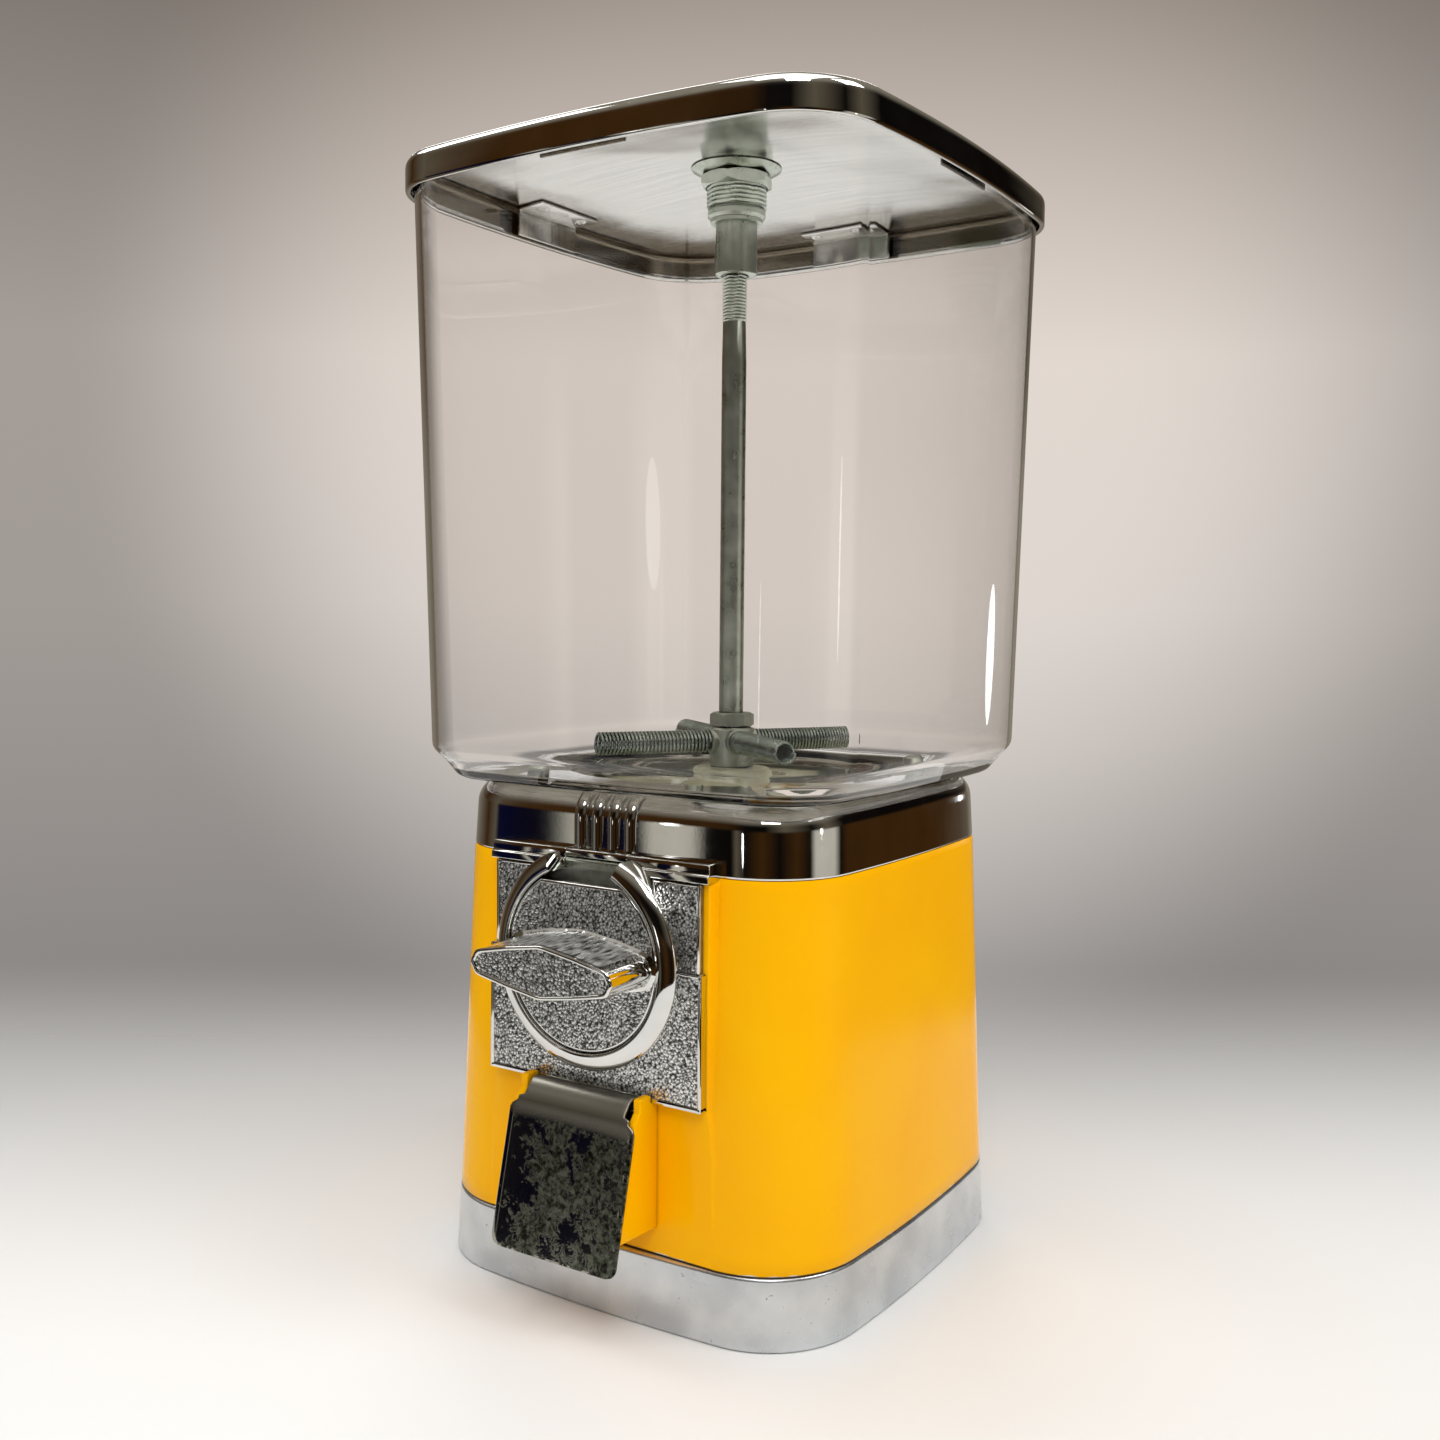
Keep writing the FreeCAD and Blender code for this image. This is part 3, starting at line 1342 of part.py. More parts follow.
def make_handle():
    body = new_body("handle")
    disc = new_sketch(body, "XY_Plane", disc_back)
    circle(disc, zero, zero, s.disc_radius)
    pad(body, disc, disc_face - disc_back)
    chord = new_sketch(body, "XY_Plane", disc_face)
    rectangle(chord, -s.disc_radius, s.disc_chord, s.disc_radius, s.disc_radius * 2)
    pocket(body, chord, disc_face - disc_back)
    grip = new_sketch(body, "XY_Plane", disc_face)
    polygon(grip, grip_outline(zero))
    pad(body, grip, grip_face - disc_face)
    sunk = new_sketch(body, "XY_Plane", grip_face)
    polygon(sunk, grip_outline(s.grip_rim))
    pocket(body, sunk, s.grip_rim_height)
    face_forward(body)


def make_coin_carrier():
    body = forward_disc("coin_carrier", carrier_back, disc_back, s.carrier_radius, None)
    seat = new_sketch(body, "XY_Plane", disc_back)
    circle(seat, zero, s.coin_rise, s.coin_radius)
    pocket(body, seat, disc_back - plate_face)
    throat = new_sketch(body, "XY_Plane", disc_back)
    rectangle(throat, -s.coin_radius, s.coin_rise, s.coin_radius, s.carrier_radius * 2)
    pocket(body, throat, disc_back - plate_face)


def make_drive():
    end = gear_back - s.shaft_nut_height - s.gear_gap
    shaft = turned("drive_shaft", [
        (zero, end), (s.shaft_end_radius, end), (s.shaft_end_radius, gear_back),
        (s.shaft_radius, gear_back), (s.shaft_radius, carrier_back), (zero, carrier_back)])
    face_forward(shaft)
    fit = s.run_gap / 2
    nut = hex_nut("shaft_nut", gear_back - s.shaft_nut_height, s.shaft_nut_height,
                  s.shaft_nut_flats, s.shaft_end_radius + fit)
    face_forward(nut)
    root = gear_pitch_radius - s.tooth_fall
    face = gear_back + s.gear_face
    gear = forward_disc("drive_gear", gear_back, face, root, s.shaft_radius + fit)
    tooth = new_sketch(gear, "XY_Plane", gear_back)
    middle = tooth_pitch * s.tooth_share / 2
    slope = tangent(s.tooth_slope)
    tip = middle - s.tooth_rise * slope
    foot = middle + s.tooth_fall * slope / 2
    pitch_radius = gear_pitch_radius
    polygon(tooth, [
        (-foot, root * 0.95), (foot, root * 0.95), (middle, pitch_radius),
        (tip, pitch_radius + s.tooth_rise), (-tip, pitch_radius + s.tooth_rise), (-middle, pitch_radius)])
    repeat_round(gear, pad(gear, tooth, s.gear_face), GEAR_TEETH)


def make_ratchet():
    face = ratchet_back + s.ratchet_thick
    root = s.ratchet_radius - s.ratchet_depth
    body = forward_disc("ratchet_wheel", ratchet_back, face, root, s.shaft_radius + s.run_gap / 2)
    tooth = new_sketch(body, "XY_Plane", ratchet_back)
    step = 2 * math.pi / RATCHET_TEETH
    buried = root * 0.95
    polygon(tooth, [(zero, buried), (zero, s.ratchet_radius),
                    (root * math.sin(step), root * math.cos(step)),
                    (buried * math.sin(step), buried * math.cos(step))])
    repeat_round(body, pad(body, tooth, s.ratchet_thick), RATCHET_TEETH)
    pawl = new_body("ratchet_pawl")
    back = ratchet_back + s.fit_gap
    x = s.pawl_x
    z = s.pawl_z
    eye = s.pawl_eye_radius
    disc = new_sketch(pawl, "XY_Plane", back)
    circle(disc, x, z, eye)
    pad(pawl, disc, s.pawl_thick)
    arm = new_sketch(pawl, "XY_Plane", back)
    polygon(arm, [(x, z + eye), (x + s.pawl_reach, z - s.pawl_drop),
                  (x + s.pawl_reach - eye / 2, z - s.pawl_drop - eye / 4), (x, z - eye)])
    pad(pawl, arm, s.pawl_thick)
    hole = new_sketch(pawl, "XY_Plane", back)
    circle(hole, x, z, s.pawl_pin_radius + s.run_gap)
    pocket(pawl, hole, s.pawl_thick, backward=True)
    face_forward(pawl)
    pin = new_body("pawl_pin")
    rod = new_sketch(pin, "XY_Plane", mech_back)
    circle(rod, x, z, s.pawl_pin_radius)
    pad(pin, rod, plate_back - mech_back - s.fit_gap)
    face_forward(pin)


def make_pawl_spring():
    wire = s.pawl_spring_wire
    shape = coil(0, s.pawl_spring_radius.value, wire.value, s.pawl_spring_pitch.value,
                 PAWL_CURLS, s.pawl_spring_entry.value)
    item = solid_node("pawl_spring", shape)
    back = mech_back + s.mech_wall
    place(item, x=s.pawl_x, y=-back, z=dial_height + s.pawl_z, axis=(0, 0, 1), angle=to_size(-90))


def make_screws():
    seat = floor_top
    pieces = []
    length = s.canister_floor + s.collar_flange + s.screw_bite
    for index, (x, y) in enumerate(corner_points(screw_reach)):
        item = screw(f"canister_screw_{index}", s.screw_radius, length, s.screw_head_radius, s.screw_head)
        place(item, x, y, seat)
        pieces.append(item)
    group("canister_screws", pieces)
    pieces = []
    length = plate_back - mech_back + s.mech_screw_bite
    for index, (x, z) in enumerate(mech_screw_points()):
        item = screw(f"mech_screw_{index}", s.mech_screw_radius, length,
                     s.mech_screw_head_radius, s.mech_screw_head)
        place(item, x, -mech_back, z, axis=(1, 0, 0), angle=to_size(-90))
        pieces.append(item)
    group("mech_screws", pieces)
    pieces = []
    length = s.lug_sheet + s.housing_floor
    for index, x in enumerate((-s.lug_screw_x, s.lug_screw_x)):
        item = screw(f"chute_screw_{index}", s.mech_screw_radius, length,
                     s.mech_screw_head_radius, s.mech_screw_head)
        place(item, x, -s.lug_screw_face, housing_low - s.lug_sheet, axis=(1, 0, 0), angle=to_size(180))
        pieces.append(item)
    group("chute_screws", pieces)


make_base()
make_body_shell()
make_collar()
make_canister()
make_lid()
make_lid_brackets()
make_lock()
make_rod()
make_agitator_hub()
make_springs()
make_wheel()
make_wheel_housing()
sleeve("thrust_washer", pedestal_top, wheel_low - s.run_gap, rod_clear, s.thrust_radius)
make_guard()
make_inner_chute()
make_flap()
make_coin_plate()
make_mech_housing()
make_handle()
make_coin_carrier()
make_drive()
make_ratchet()
make_pawl_spring()
make_screws()
doc.recompute()

# Nothing is written unless every object has come out whole

for item in doc.Objects:
    if "Invalid" in item.State or "Error" in item.State:
        raise RuntimeError(f"{item.Label} failed to build: {item.State}")
for node in nodes:
    if node.Shape.isNull() or not node.Shape.isValid() or not node.Shape.Solids:
        raise RuntimeError(f"{node.Label} has no sound solid")

os.makedirs("parts", exist_ok=True)
for node in nodes:
    node.Shape.exportStep(f"parts/{node.Label}.step")
    print(f"{node.Label}: {len(node.Shape.Solids)} solid, {node.Shape.Volume / 1000:.2f} cm3")
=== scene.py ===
from math import asin, atan2, copysign, cos, pi, radians, sin, sqrt
from types import SimpleNamespace

import bmesh
import bpy
from mathutils import Matrix, Vector, noise


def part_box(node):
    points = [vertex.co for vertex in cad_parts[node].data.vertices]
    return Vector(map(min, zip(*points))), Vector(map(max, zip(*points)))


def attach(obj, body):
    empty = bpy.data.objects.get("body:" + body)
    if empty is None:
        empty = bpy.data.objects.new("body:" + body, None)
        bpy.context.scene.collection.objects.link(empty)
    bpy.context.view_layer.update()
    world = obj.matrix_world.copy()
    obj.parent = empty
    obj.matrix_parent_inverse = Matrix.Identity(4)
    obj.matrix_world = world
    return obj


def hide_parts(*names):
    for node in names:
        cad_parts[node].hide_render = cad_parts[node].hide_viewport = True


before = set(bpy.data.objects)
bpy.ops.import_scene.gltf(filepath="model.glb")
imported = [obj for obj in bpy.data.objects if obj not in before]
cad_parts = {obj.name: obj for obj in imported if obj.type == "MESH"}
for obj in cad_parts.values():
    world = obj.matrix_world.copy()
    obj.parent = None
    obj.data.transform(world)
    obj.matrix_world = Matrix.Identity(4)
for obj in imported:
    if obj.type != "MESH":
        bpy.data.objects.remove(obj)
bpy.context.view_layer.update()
print("frame loaded,", len(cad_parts), "nodes")

mm = 0.001  # pieces are drawn in millimetres
scene = bpy.context.scene
scene.view_settings.view_transform = "Standard"


# camera at the photograph's angle
viewpoint = {
    "place": (314.67, -486.96, 248.88),  # mm from the rod's foot
    "heading": 0.569309,  # radians left of straight ahead
    "pitch": -0.0692206,
    "roll": 0.00955905,
    "lens": 36.86,
    "shift": (-0.01245, -0.00863),
}
v = SimpleNamespace(**viewpoint)
ahead = Vector((-sin(v.heading) * cos(v.pitch), cos(v.heading) * cos(v.pitch), sin(v.pitch)))
level = ahead.cross(Vector((0, 0, 1))).normalized()
upright = level.cross(ahead)
rightward = level * cos(v.roll) + upright * sin(v.roll)
upward = upright * cos(v.roll) - level * sin(v.roll)
lensData = bpy.data.cameras.new("photoCamera")
lensData.lens = v.lens
lensData.sensor_width = 36
lensData.shift_x, lensData.shift_y = v.shift
lensData.clip_start = 0.01
camera = bpy.data.objects.new("photoCamera", lensData)
camera.matrix_world = (Matrix.Translation(Vector(v.place) * mm)
                       @ Matrix((rightward, upward, -ahead)).transposed().to_4x4())
scene.collection.objects.link(camera)
scene.camera = camera
print("camera placed")


def hexColour(text):  # sRGB hex to linear
    shades = [int(text[i:i + 2], 16) / 255 for i in (0, 2, 4)]
    return tuple(s / 12.92 if s <= 0.04045 else ((s + 0.055) / 1.055) ** 2.4 for s in shades) + (1.0,)


def perSize(size):  # texture scale for a pattern this many millimetres across
    return 1 / (size * mm)


def setNode(tree, node, values):  # a node or a socket is linked, a hex text is a colour
    for key, value in values.items():
        if key == "stops":
            stops = node.color_ramp.elements
            stops.remove(stops[1])
            for index, (position, colour) in enumerate(value):
                stop = stops[0] if index == 0 else stops.new(position)
                stop.position, stop.color = position, hexColour(colour)
        elif isinstance(key, str) and hasattr(node, key):
            setattr(node, key, value)
        else:
            named = [s for s in node.inputs if s.enabled and s.name == key]
            socket = named[0] if named else node.inputs[key]
            if isinstance(value, bpy.types.Node):
                value = [s for s in value.outputs if s.enabled][0]
            if isinstance(value, bpy.types.NodeSocket):
                tree.links.new(value, socket)
            else:
                socket.default_value = hexColour(value) if isinstance(value, str) else value


def addNode(tree, kind, values=None):
    node = tree.nodes.new("ShaderNode" + kind)
    setNode(tree, node, values or {})
    return node


def startFinish(name, settings):
    finish = bpy.data.materials.new(name)
    finish.use_nodes = True
    tree = finish.node_tree
    tree.nodes.clear()
    shader = addNode(tree, "BsdfPrincipled", settings)
    addNode(tree, "OutputMaterial", {"Surface": shader})
    return finish, tree, shader, addNode(tree, "TexCoord").outputs["Object"]


def cloudTone(tree, at, look):  # one noise gives the two tones and the gloss that goes with them
    cloud = addNode(tree, "TexNoise", {"Scale": perSize(look["size"]), "Detail": look["detail"], "Vector": at})
    tone = addNode(tree, "ValToRGB", {"stops": list(zip((0.3, 0.7), look["tones"])), "Fac": cloud})
    start, end = look.get("span", (0.0, 1.0))
    low, high = look["gloss"]
    gloss = addNode(tree, "MapRange", {"From Min": start, "From Max": end, "To Min": low, "To Max": high,
                                       "Value": cloud})
    return tone, gloss


def soilAndShadeJoints(tree, tone, look):  # narrow gaps are darkened by occlusion: oil and dirt, and painted shade
    joint = addNode(tree, "AmbientOcclusion", {"Distance": look["gap"] * mm, "samples": 6})
    low, high = look["open"]
    shade = addNode(tree, "MapRange", {"From Min": low, "From Max": high, "Value": joint.outputs["AO"]})
    return addNode(tree, "Mix", {"data_type": "RGBA", "Factor": shade, "A": look["soilAndShade"], "B": tone})


def cloudyFinish(name, settings, look):
    finish, tree, shader, at = startFinish(name, settings)
    tone, gloss = cloudTone(tree, at, look)
    if "soilAndShade" in look:
        tone = soilAndShadeJoints(tree, tone, look)
    setNode(tree, shader, {"Base Color": tone, "Roughness": gloss})
    return finish


# stove enamel sprayed over a casting: deep even yellow under a thin gloss, faint orange peel, chips at the foot, and a
# dark band painted along the foot as the shadow of the seam with the base
enamelLook = {"light": "FFBA00", "deep": "FDB200", "cloud": 45, "primer": "EFEAE0", "seamShadowTone": "2A1B08",
              "flake": 7, "peel": 3.5, "chipZone": (25.4, 28.2), "seamShadowZone": (25.7, 26.1),
              "soilAndShade": "8A5600", "gap": 2.5, "open": (0.22, 0.6)}
enamel, tree, shader, at = startFinish("stoveEnamel", {
    "Roughness": 0.2, "IOR": 1.5, "Specular IOR Level": 0.07, "Coat Weight": 0.03, "Coat Roughness": 0.04})
cloud = addNode(tree, "TexNoise", {"Scale": perSize(enamelLook["cloud"]), "Detail": 2.0, "Vector": at})
tone = addNode(tree, "ValToRGB", {"stops": ((0.3, enamelLook["deep"]), (0.7, enamelLook["light"])), "Fac": cloud})
height = addNode(tree, "SeparateXYZ", {"Vector": at}).outputs["Z"]
foot, seamShadow = [addNode(tree, "MapRange", {"From Min": low * mm, "From Max": high * mm, "To Min": 1.0, "To Max": 0.0,
                                         "Value": height})
              for low, high in (enamelLook["chipZone"], enamelLook["seamShadowZone"])]
flakes = addNode(tree, "TexNoise", {"Scale": perSize(enamelLook["flake"]), "Detail": 5.0, "Vector": at})
bare = addNode(tree, "Math", {"operation": "MULTIPLY", 0: foot, 1: flakes})
chip = addNode(tree, "MapRange", {"From Min": 0.43, "From Max": 0.45, "Value": bare})
chipped = addNode(tree, "Mix", {"data_type": "RGBA", "Factor": chip, "A": tone, "B": enamelLook["primer"]})
# the dark band at the foot is painted shadow where the enamel meets the base
coat = addNode(tree, "Mix", {"data_type": "RGBA", "Factor": seamShadow, "A": chipped, "B": enamelLook["seamShadowTone"]})
peel = addNode(tree, "TexNoise", {"Scale": perSize(enamelLook["peel"]), "Detail": 1.0, "Vector": at})
ripple = addNode(tree, "Bump", {"Strength": 0.05, "Distance": 0.2 * mm, "Height": peel})
# occlusion paints shade, with dirt, into the enamel's creases and the corners round the chute
setNode(tree, shader, {"Base Color": soilAndShadeJoints(tree, coat, enamelLook), "Normal": ripple})

# plated zinc casting, tumbled: soft grey sheen with pits and stains
castZinc, tree, shader, at = startFinish("tumbledZinc", {"Metallic": 0.9})
stain = addNode(tree, "TexNoise", {"Scale": perSize(24), "Detail": 5.0, "Vector": at})
tone = addNode(tree, "ValToRGB", {"stops": ((0.32, "B9BCBF"), (0.55, "D0D3D5"), (0.75, "E0E2E3")), "Fac": stain})
pits = addNode(tree, "TexNoise", {"Scale": perSize(3), "Detail": 4.0, "Roughness": 0.7, "Vector": at})
pitMask = addNode(tree, "MapRange", {"From Min": 0.66, "From Max": 0.72, "Value": pits})
tarnish = addNode(tree, "Mix", {"data_type": "RGBA", "Factor": pitMask, "A": tone, "B": "8E8F90"})
dull = addNode(tree, "MapRange", {"To Min": 0.2, "To Max": 0.36, "Value": stain})
grit = addNode(tree, "Bump", {"Strength": 0.25, "Distance": 0.2 * mm, "invert": True, "Height": pitMask})
setNode(tree, shader, {"Base Color": tarnish, "Roughness": dull, "Normal": grit})

# chrome over a polished casting: a dark mirror with a faint haze and hairline rubbing
chrome, tree, shader, at = startFinish("chromePlate", {"Metallic": 1.0})
tone, gloss = cloudTone(tree, at, {"size": 18, "detail": 4.0, "tones": ("D3D3D0", "E6E6E4"),
                                   "span": (0.35, 0.75), "gloss": (0.03, 0.11)})
rub = addNode(tree, "TexNoise", {"Scale": perSize(1.2), "Detail": 2.0, "Vector": at})
hairline = addNode(tree, "Bump", {"Strength": 0.03, "Distance": 0.1 * mm, "Height": rub})
setNode(tree, shader, {"Base Color": tone, "Roughness": gloss, "Normal": hairline})

# cold-rolled sheet under the lid: brushed one way, so reflections smear into soft bands, with dirt and painted shade
# darkening it near the brackets and the hem
sheetLook = {"stroke": (60, 0.9, 60), "sway": 55, "buckle": 3, "soilAndShade": "6A5E49", "gap": 7, "open": (0.25, 0.85)}
brushedSteel, tree, shader, at = startFinish("brushedSheetSteel", {"Metallic": 1.0})
stretch = addNode(tree, "Mapping", {"Scale": [perSize(size) for size in sheetLook["stroke"]], "Vector": at})
brush = addNode(tree, "TexNoise", {"Scale": 1.0, "Detail": 3.0, "Vector": stretch})
tone = addNode(tree, "ValToRGB", {"stops": ((0.3, "D6D5D1"), (0.7, "E8E7E4")), "Fac": brush})
gloss = addNode(tree, "MapRange", {"To Min": 0.12, "To Max": 0.24, "Value": brush})
sway = addNode(tree, "TexNoise", {"Scale": perSize(sheetLook["sway"]), "Detail": 1.0, "Vector": at})
buckle = addNode(tree, "Bump", {"Strength": 0.6, "Distance": sheetLook["buckle"] * mm,
                                "Height": sway})  # never quite flat
setNode(tree, shader, {"Base Color": soilAndShadeJoints(tree, tone, sheetLook), "Roughness": gloss, "Normal": buckle})

# die-cast zinc with a stippled face: the grain is in the mesh, and its colour follows the grain's depth, with painted
# shade in the hollows and a painted glint on the tops
stippled, tree, shader, at = startFinish("stippledZinc", {"Metallic": 0.8})
depth = addNode(tree, "Attribute", {"attribute_name": "grainDepth"}).outputs["Fac"]
tone = addNode(tree, "ValToRGB", {"stops": ((0.1, "3A3A38"), (0.42, "B4B4B1"), (0.75, "F8F8F6")), "Fac": depth})
dirt = addNode(tree, "TexNoise", {"Scale": perSize(16), "Detail": 4.0, "Vector": at})
gloss = addNode(tree, "MapRange", {"From Min": 0.3, "From Max": 0.7, "To Min": 0.2, "To Max": 0.34, "Value": dirt})
setNode(tree, shader, {"Base Color": tone, "Roughness": gloss})

# zinc plate on steel hardware: greenish grey, dull, with cloudy spots, and dirt with painted shade in its threads and
# joints
zincPlate = cloudyFinish("zincPlatedSteel", {"Metallic": 1.0}, {
    "size": 6, "detail": 4.0, "tones": ("B6BEB1", "D6DCD1"), "gloss": (0.22, 0.36),
    "soilAndShade": "20261F", "gap": 3, "open": (0.25, 0.75)})

# oiled spring wire: darker than the hardware, with a thin bright line on each turn, and oil with painted shade between
# the turns
springWire = cloudyFinish("springWire", {"Metallic": 1.0}, {
    "size": 9, "detail": 3.0, "tones": ("98A59C", "BAC6BE"), "gloss": (0.2, 0.32),
    "soilAndShade": "0C110E", "gap": 1.5, "open": (0.4, 0.85)})

# die-cast mechanism parts: bare zinc alloy, dull and even
bareZinc = cloudyFinish("bareZincAlloy", {"Metallic": 1.0}, {
    "size": 4, "detail": 4.0, "tones": ("85867F", "A7A8A0"), "gloss": (0.38, 0.55)})

# moulded acetal wheel: waxy olive grey plastic with flow marks
acetal = cloudyFinish("mouldedAcetal", {"IOR": 1.48}, {
    "size": 14, "detail": 3.0, "tones": ("8B8A6E", "A5A48A"), "gloss": (0.25, 0.42)})

# galvanised sheet for the hidden chute: spangled pale grey
galvanised, tree, shader, at = startFinish("galvanisedSheet", {"Metallic": 1.0})
spangle = addNode(tree, "TexVoronoi", {"Scale": perSize(6), "Vector": at})
tone = addNode(tree, "ValToRGB", {"stops": ((0.0, "9EA3A4"), (1.0, "C3C7C7")), "Fac": spangle.outputs["Color"]})
gloss = addNode(tree, "MapRange", {"To Min": 0.3, "To Max": 0.45, "Value": spangle.outputs["Distance"]})
setNode(tree, shader, {"Base Color": tone, "Roughness": gloss})

# nickel-plated sheet whose plating has gone: a dark mirror showing between patches of grey-green corrosion
doorLook = {"plating": "9C9A90", "warp": 4, "shift": 0.0022, "keptSide": (-26.0, -6.0), "neck": (69.0, 73.5),
            "patches": ((13, 4.0, 0.5), (3.2, 7.0, 0.72), (2.2, 6.0, 0.7))}  # size, detail and roughness
wornSheet, tree, shader, at = startFinish("cloudedNickelSheet", {"Metallic": 1.0})
warp = addNode(tree, "TexNoise", {"Scale": perSize(doorLook["warp"]), "Detail": 3.0, "Vector": at})
shifted = addNode(tree, "Mix", {"data_type": "RGBA", "blend_type": "LINEAR_LIGHT", "Factor": doorLook["shift"],
                                "A": at, "B": warp.outputs["Color"]})
blotch, crumb, bloom = [addNode(tree, "TexNoise", {"Scale": perSize(size), "Detail": detail, "Roughness": rough,
                                                   "Vector": shifted}) for size, detail, rough in doorLook["patches"]]
mixed = addNode(tree, "Mix", {"Factor": 0.55, "A": blotch, "B": crumb})
place = addNode(tree, "SeparateXYZ", {"Vector": at})
low, high = doorLook["keptSide"]  # the left side and the folded neck have kept their plating
leftSide = addNode(tree, "MapRange", {"From Min": low * mm, "From Max": high * mm, "To Min": -0.1, "To Max": 0.035,
                                      "Value": place.outputs["X"]})
low, high = doorLook["neck"]
neck = addNode(tree, "MapRange", {"From Min": low * mm, "From Max": high * mm, "Value": place.outputs["Z"]})
lean = addNode(tree, "Math", {"operation": "MULTIPLY_ADD", 0: neck, 1: -0.3, 2: leftSide})
decay = addNode(tree, "Math", {"operation": "ADD", 0: mixed, 1: lean})
gone = addNode(tree, "MapRange", {"From Min": 0.485, "From Max": 0.505, "Value": decay})
rust = addNode(tree, "ValToRGB", {"stops": ((0.38, "12130E"), (0.45, "3A3C33"), (0.52, "5C5F53"), (0.62, "777A6C")),
                                  "Fac": bloom})
tone = addNode(tree, "Mix", {"data_type": "RGBA", "Factor": gone, "A": doorLook["plating"], "B": rust})
gloss = addNode(tree, "MapRange", {"To Min": 0.07, "To Max": 0.42, "Value": gone})
rubbed = addNode(tree, "Math", {"operation": "MULTIPLY_ADD", 0: neck, 1: 0.3, 2: gloss})
scale = addNode(tree, "Bump", {"Strength": 0.08, "Distance": 0.1 * mm, "Height": gone})
setNode(tree, shader, {"Base Color": tone, "Roughness": rubbed, "Normal": scale})

# moulded polycarbonate: clear, with a faint smoky tint, wall reflections and handling smears
clearPlastic, tree, shader, at = startFinish("mouldedPolycarbonate", {
    "Base Color": "FEFDFC", "Transmission Weight": 1.0, "IOR": 1.43})
smear = addNode(tree, "TexNoise", {"Scale": perSize(30), "Detail": 4.0, "Vector": at})
gloss = addNode(tree, "MapRange", {"From Min": 0.5, "From Max": 0.8, "To Min": 0.0, "To Max": 0.06, "Value": smear})
setNode(tree, shader, {"Roughness": gloss})
shadowRay = addNode(tree, "LightPath").outputs["Is Shadow Ray"]
ghost = addNode(tree, "BsdfTransparent", {"Color": "F7F4F2"})
lightThrough = addNode(tree, "MixShader", {0: shadowRay, 1: shader, 2: ghost})
setNode(tree, tree.nodes["Material Output"], {"Surface": lightThrough})
print("finishes mixed")


# mesh helpers: a shell is its points in millimetres, its faces, and the finish of each face
def smoothMesh(mesh, sharp):
    mesh.shade_smooth()
    mesh.set_sharp_from_angle(angle=radians(sharp))


def finishMesh(name, shell, sharp=32, soften=0.0, steps=2):
    points, faces, kinds = shell
    mesh = bpy.data.meshes.new(name)
    mesh.from_pydata([Vector(p) * mm for p in points], [], faces)
    mesh.polygons.foreach_set("material_index", kinds)
    shape = bmesh.new()
    shape.from_mesh(mesh)
    bmesh.ops.remove_doubles(shape, verts=shape.verts, dist=2e-6)
    bmesh.ops.recalc_face_normals(shape, faces=shape.faces)
    if shape.calc_volume(signed=True) < 0:
        bmesh.ops.reverse_faces(shape, faces=shape.faces)
    if soften:
        hard = [e for e in shape.edges if e.is_manifold and e.calc_face_angle() > radians(sharp)]
        bmesh.ops.bevel(shape, geom=hard, offset=soften * mm, segments=steps, profile=0.5,
                        affect="EDGES", clamp_overlap=True)
    shape.to_mesh(mesh)
    shape.free()
    smoothMesh(mesh, sharp)
    return mesh


def addPiece(name, mesh, body, finishes, node):
    piece = bpy.data.objects.new(name, mesh)
    scene.collection.objects.link(piece)
    for finish in finishes:
        mesh.materials.append(finish)
    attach(piece, body)
    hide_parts(node)
    return piece


def addShell(name, shell, body, slot, finishes, node, **edges):
    return addPiece(name, finishMesh(name, shell, **edges), body, finishes, node)


def joinRings(rings, loop=False, kind=0):  # quads between rings with the same count
    points = [p for ring in rings for p in ring]
    count = len(rings[0])
    faces = []
    for row in range(len(rings) - (0 if loop else 1)):
        low, high = row * count, (row + 1) % len(rings) * count
        for k in range(count):
            after = (k + 1) % count
            faces.append((low + k, low + after, high + after, high + k))
    return points, faces, [kind] * len(faces)


def gather(*shells):  # several shells in one
    points, faces, kinds = [], [], []
    for shellPoints, shellFaces, shellKinds in shells:
        start = len(points)
        points += shellPoints
        faces += [tuple(start + k for k in face) for face in shellFaces]
        kinds += shellKinds
    return points, faces, kinds


def capRing(ring, kind=0):  # one flat face over a ring
    return list(ring), [tuple(range(len(ring)))], [kind]


def cappedShell(rings):
    return gather(joinRings(rings), capRing(rings[0]), capRing(rings[-1]))


def prismX(outline, left, right):  # an outline of (forward, z), run along x
    return cappedShell([[(x, -f, z) for f, z in outline] for x in (left, right)])


def prismForward(outline, back, face):  # an outline of (x, z), run forward
    return cappedShell([[(x, -f, z) for x, z in outline] for f in (back, face)])


def circle(count, turn=0.0):
    return [(cos(2 * pi * k / count + turn), sin(2 * pi * k / count + turn)) for k in range(count)]


def edgeRound(radius, count):  # how far a rounded edge draws in, and how far it is below its top, from side to top
    angles = [pi / 2 * k / count for k in range(count + 1)]
    return [(radius * (1 - cos(angle)), radius * (1 - sin(angle))) for angle in angles]


bowRadius = 700.0  # every side of the stack is bowed to this radius
sideSteps, cornerSteps = 12, 14


def cornerCentre(half, corner):  # middle of the corner's arc, and the sine of the bowed side's half angle
    reach, inner = bowRadius - half, bowRadius - corner
    centre = (sqrt(2 * inner ** 2 - reach ** 2) - reach) / 2
    return centre, centre / inner


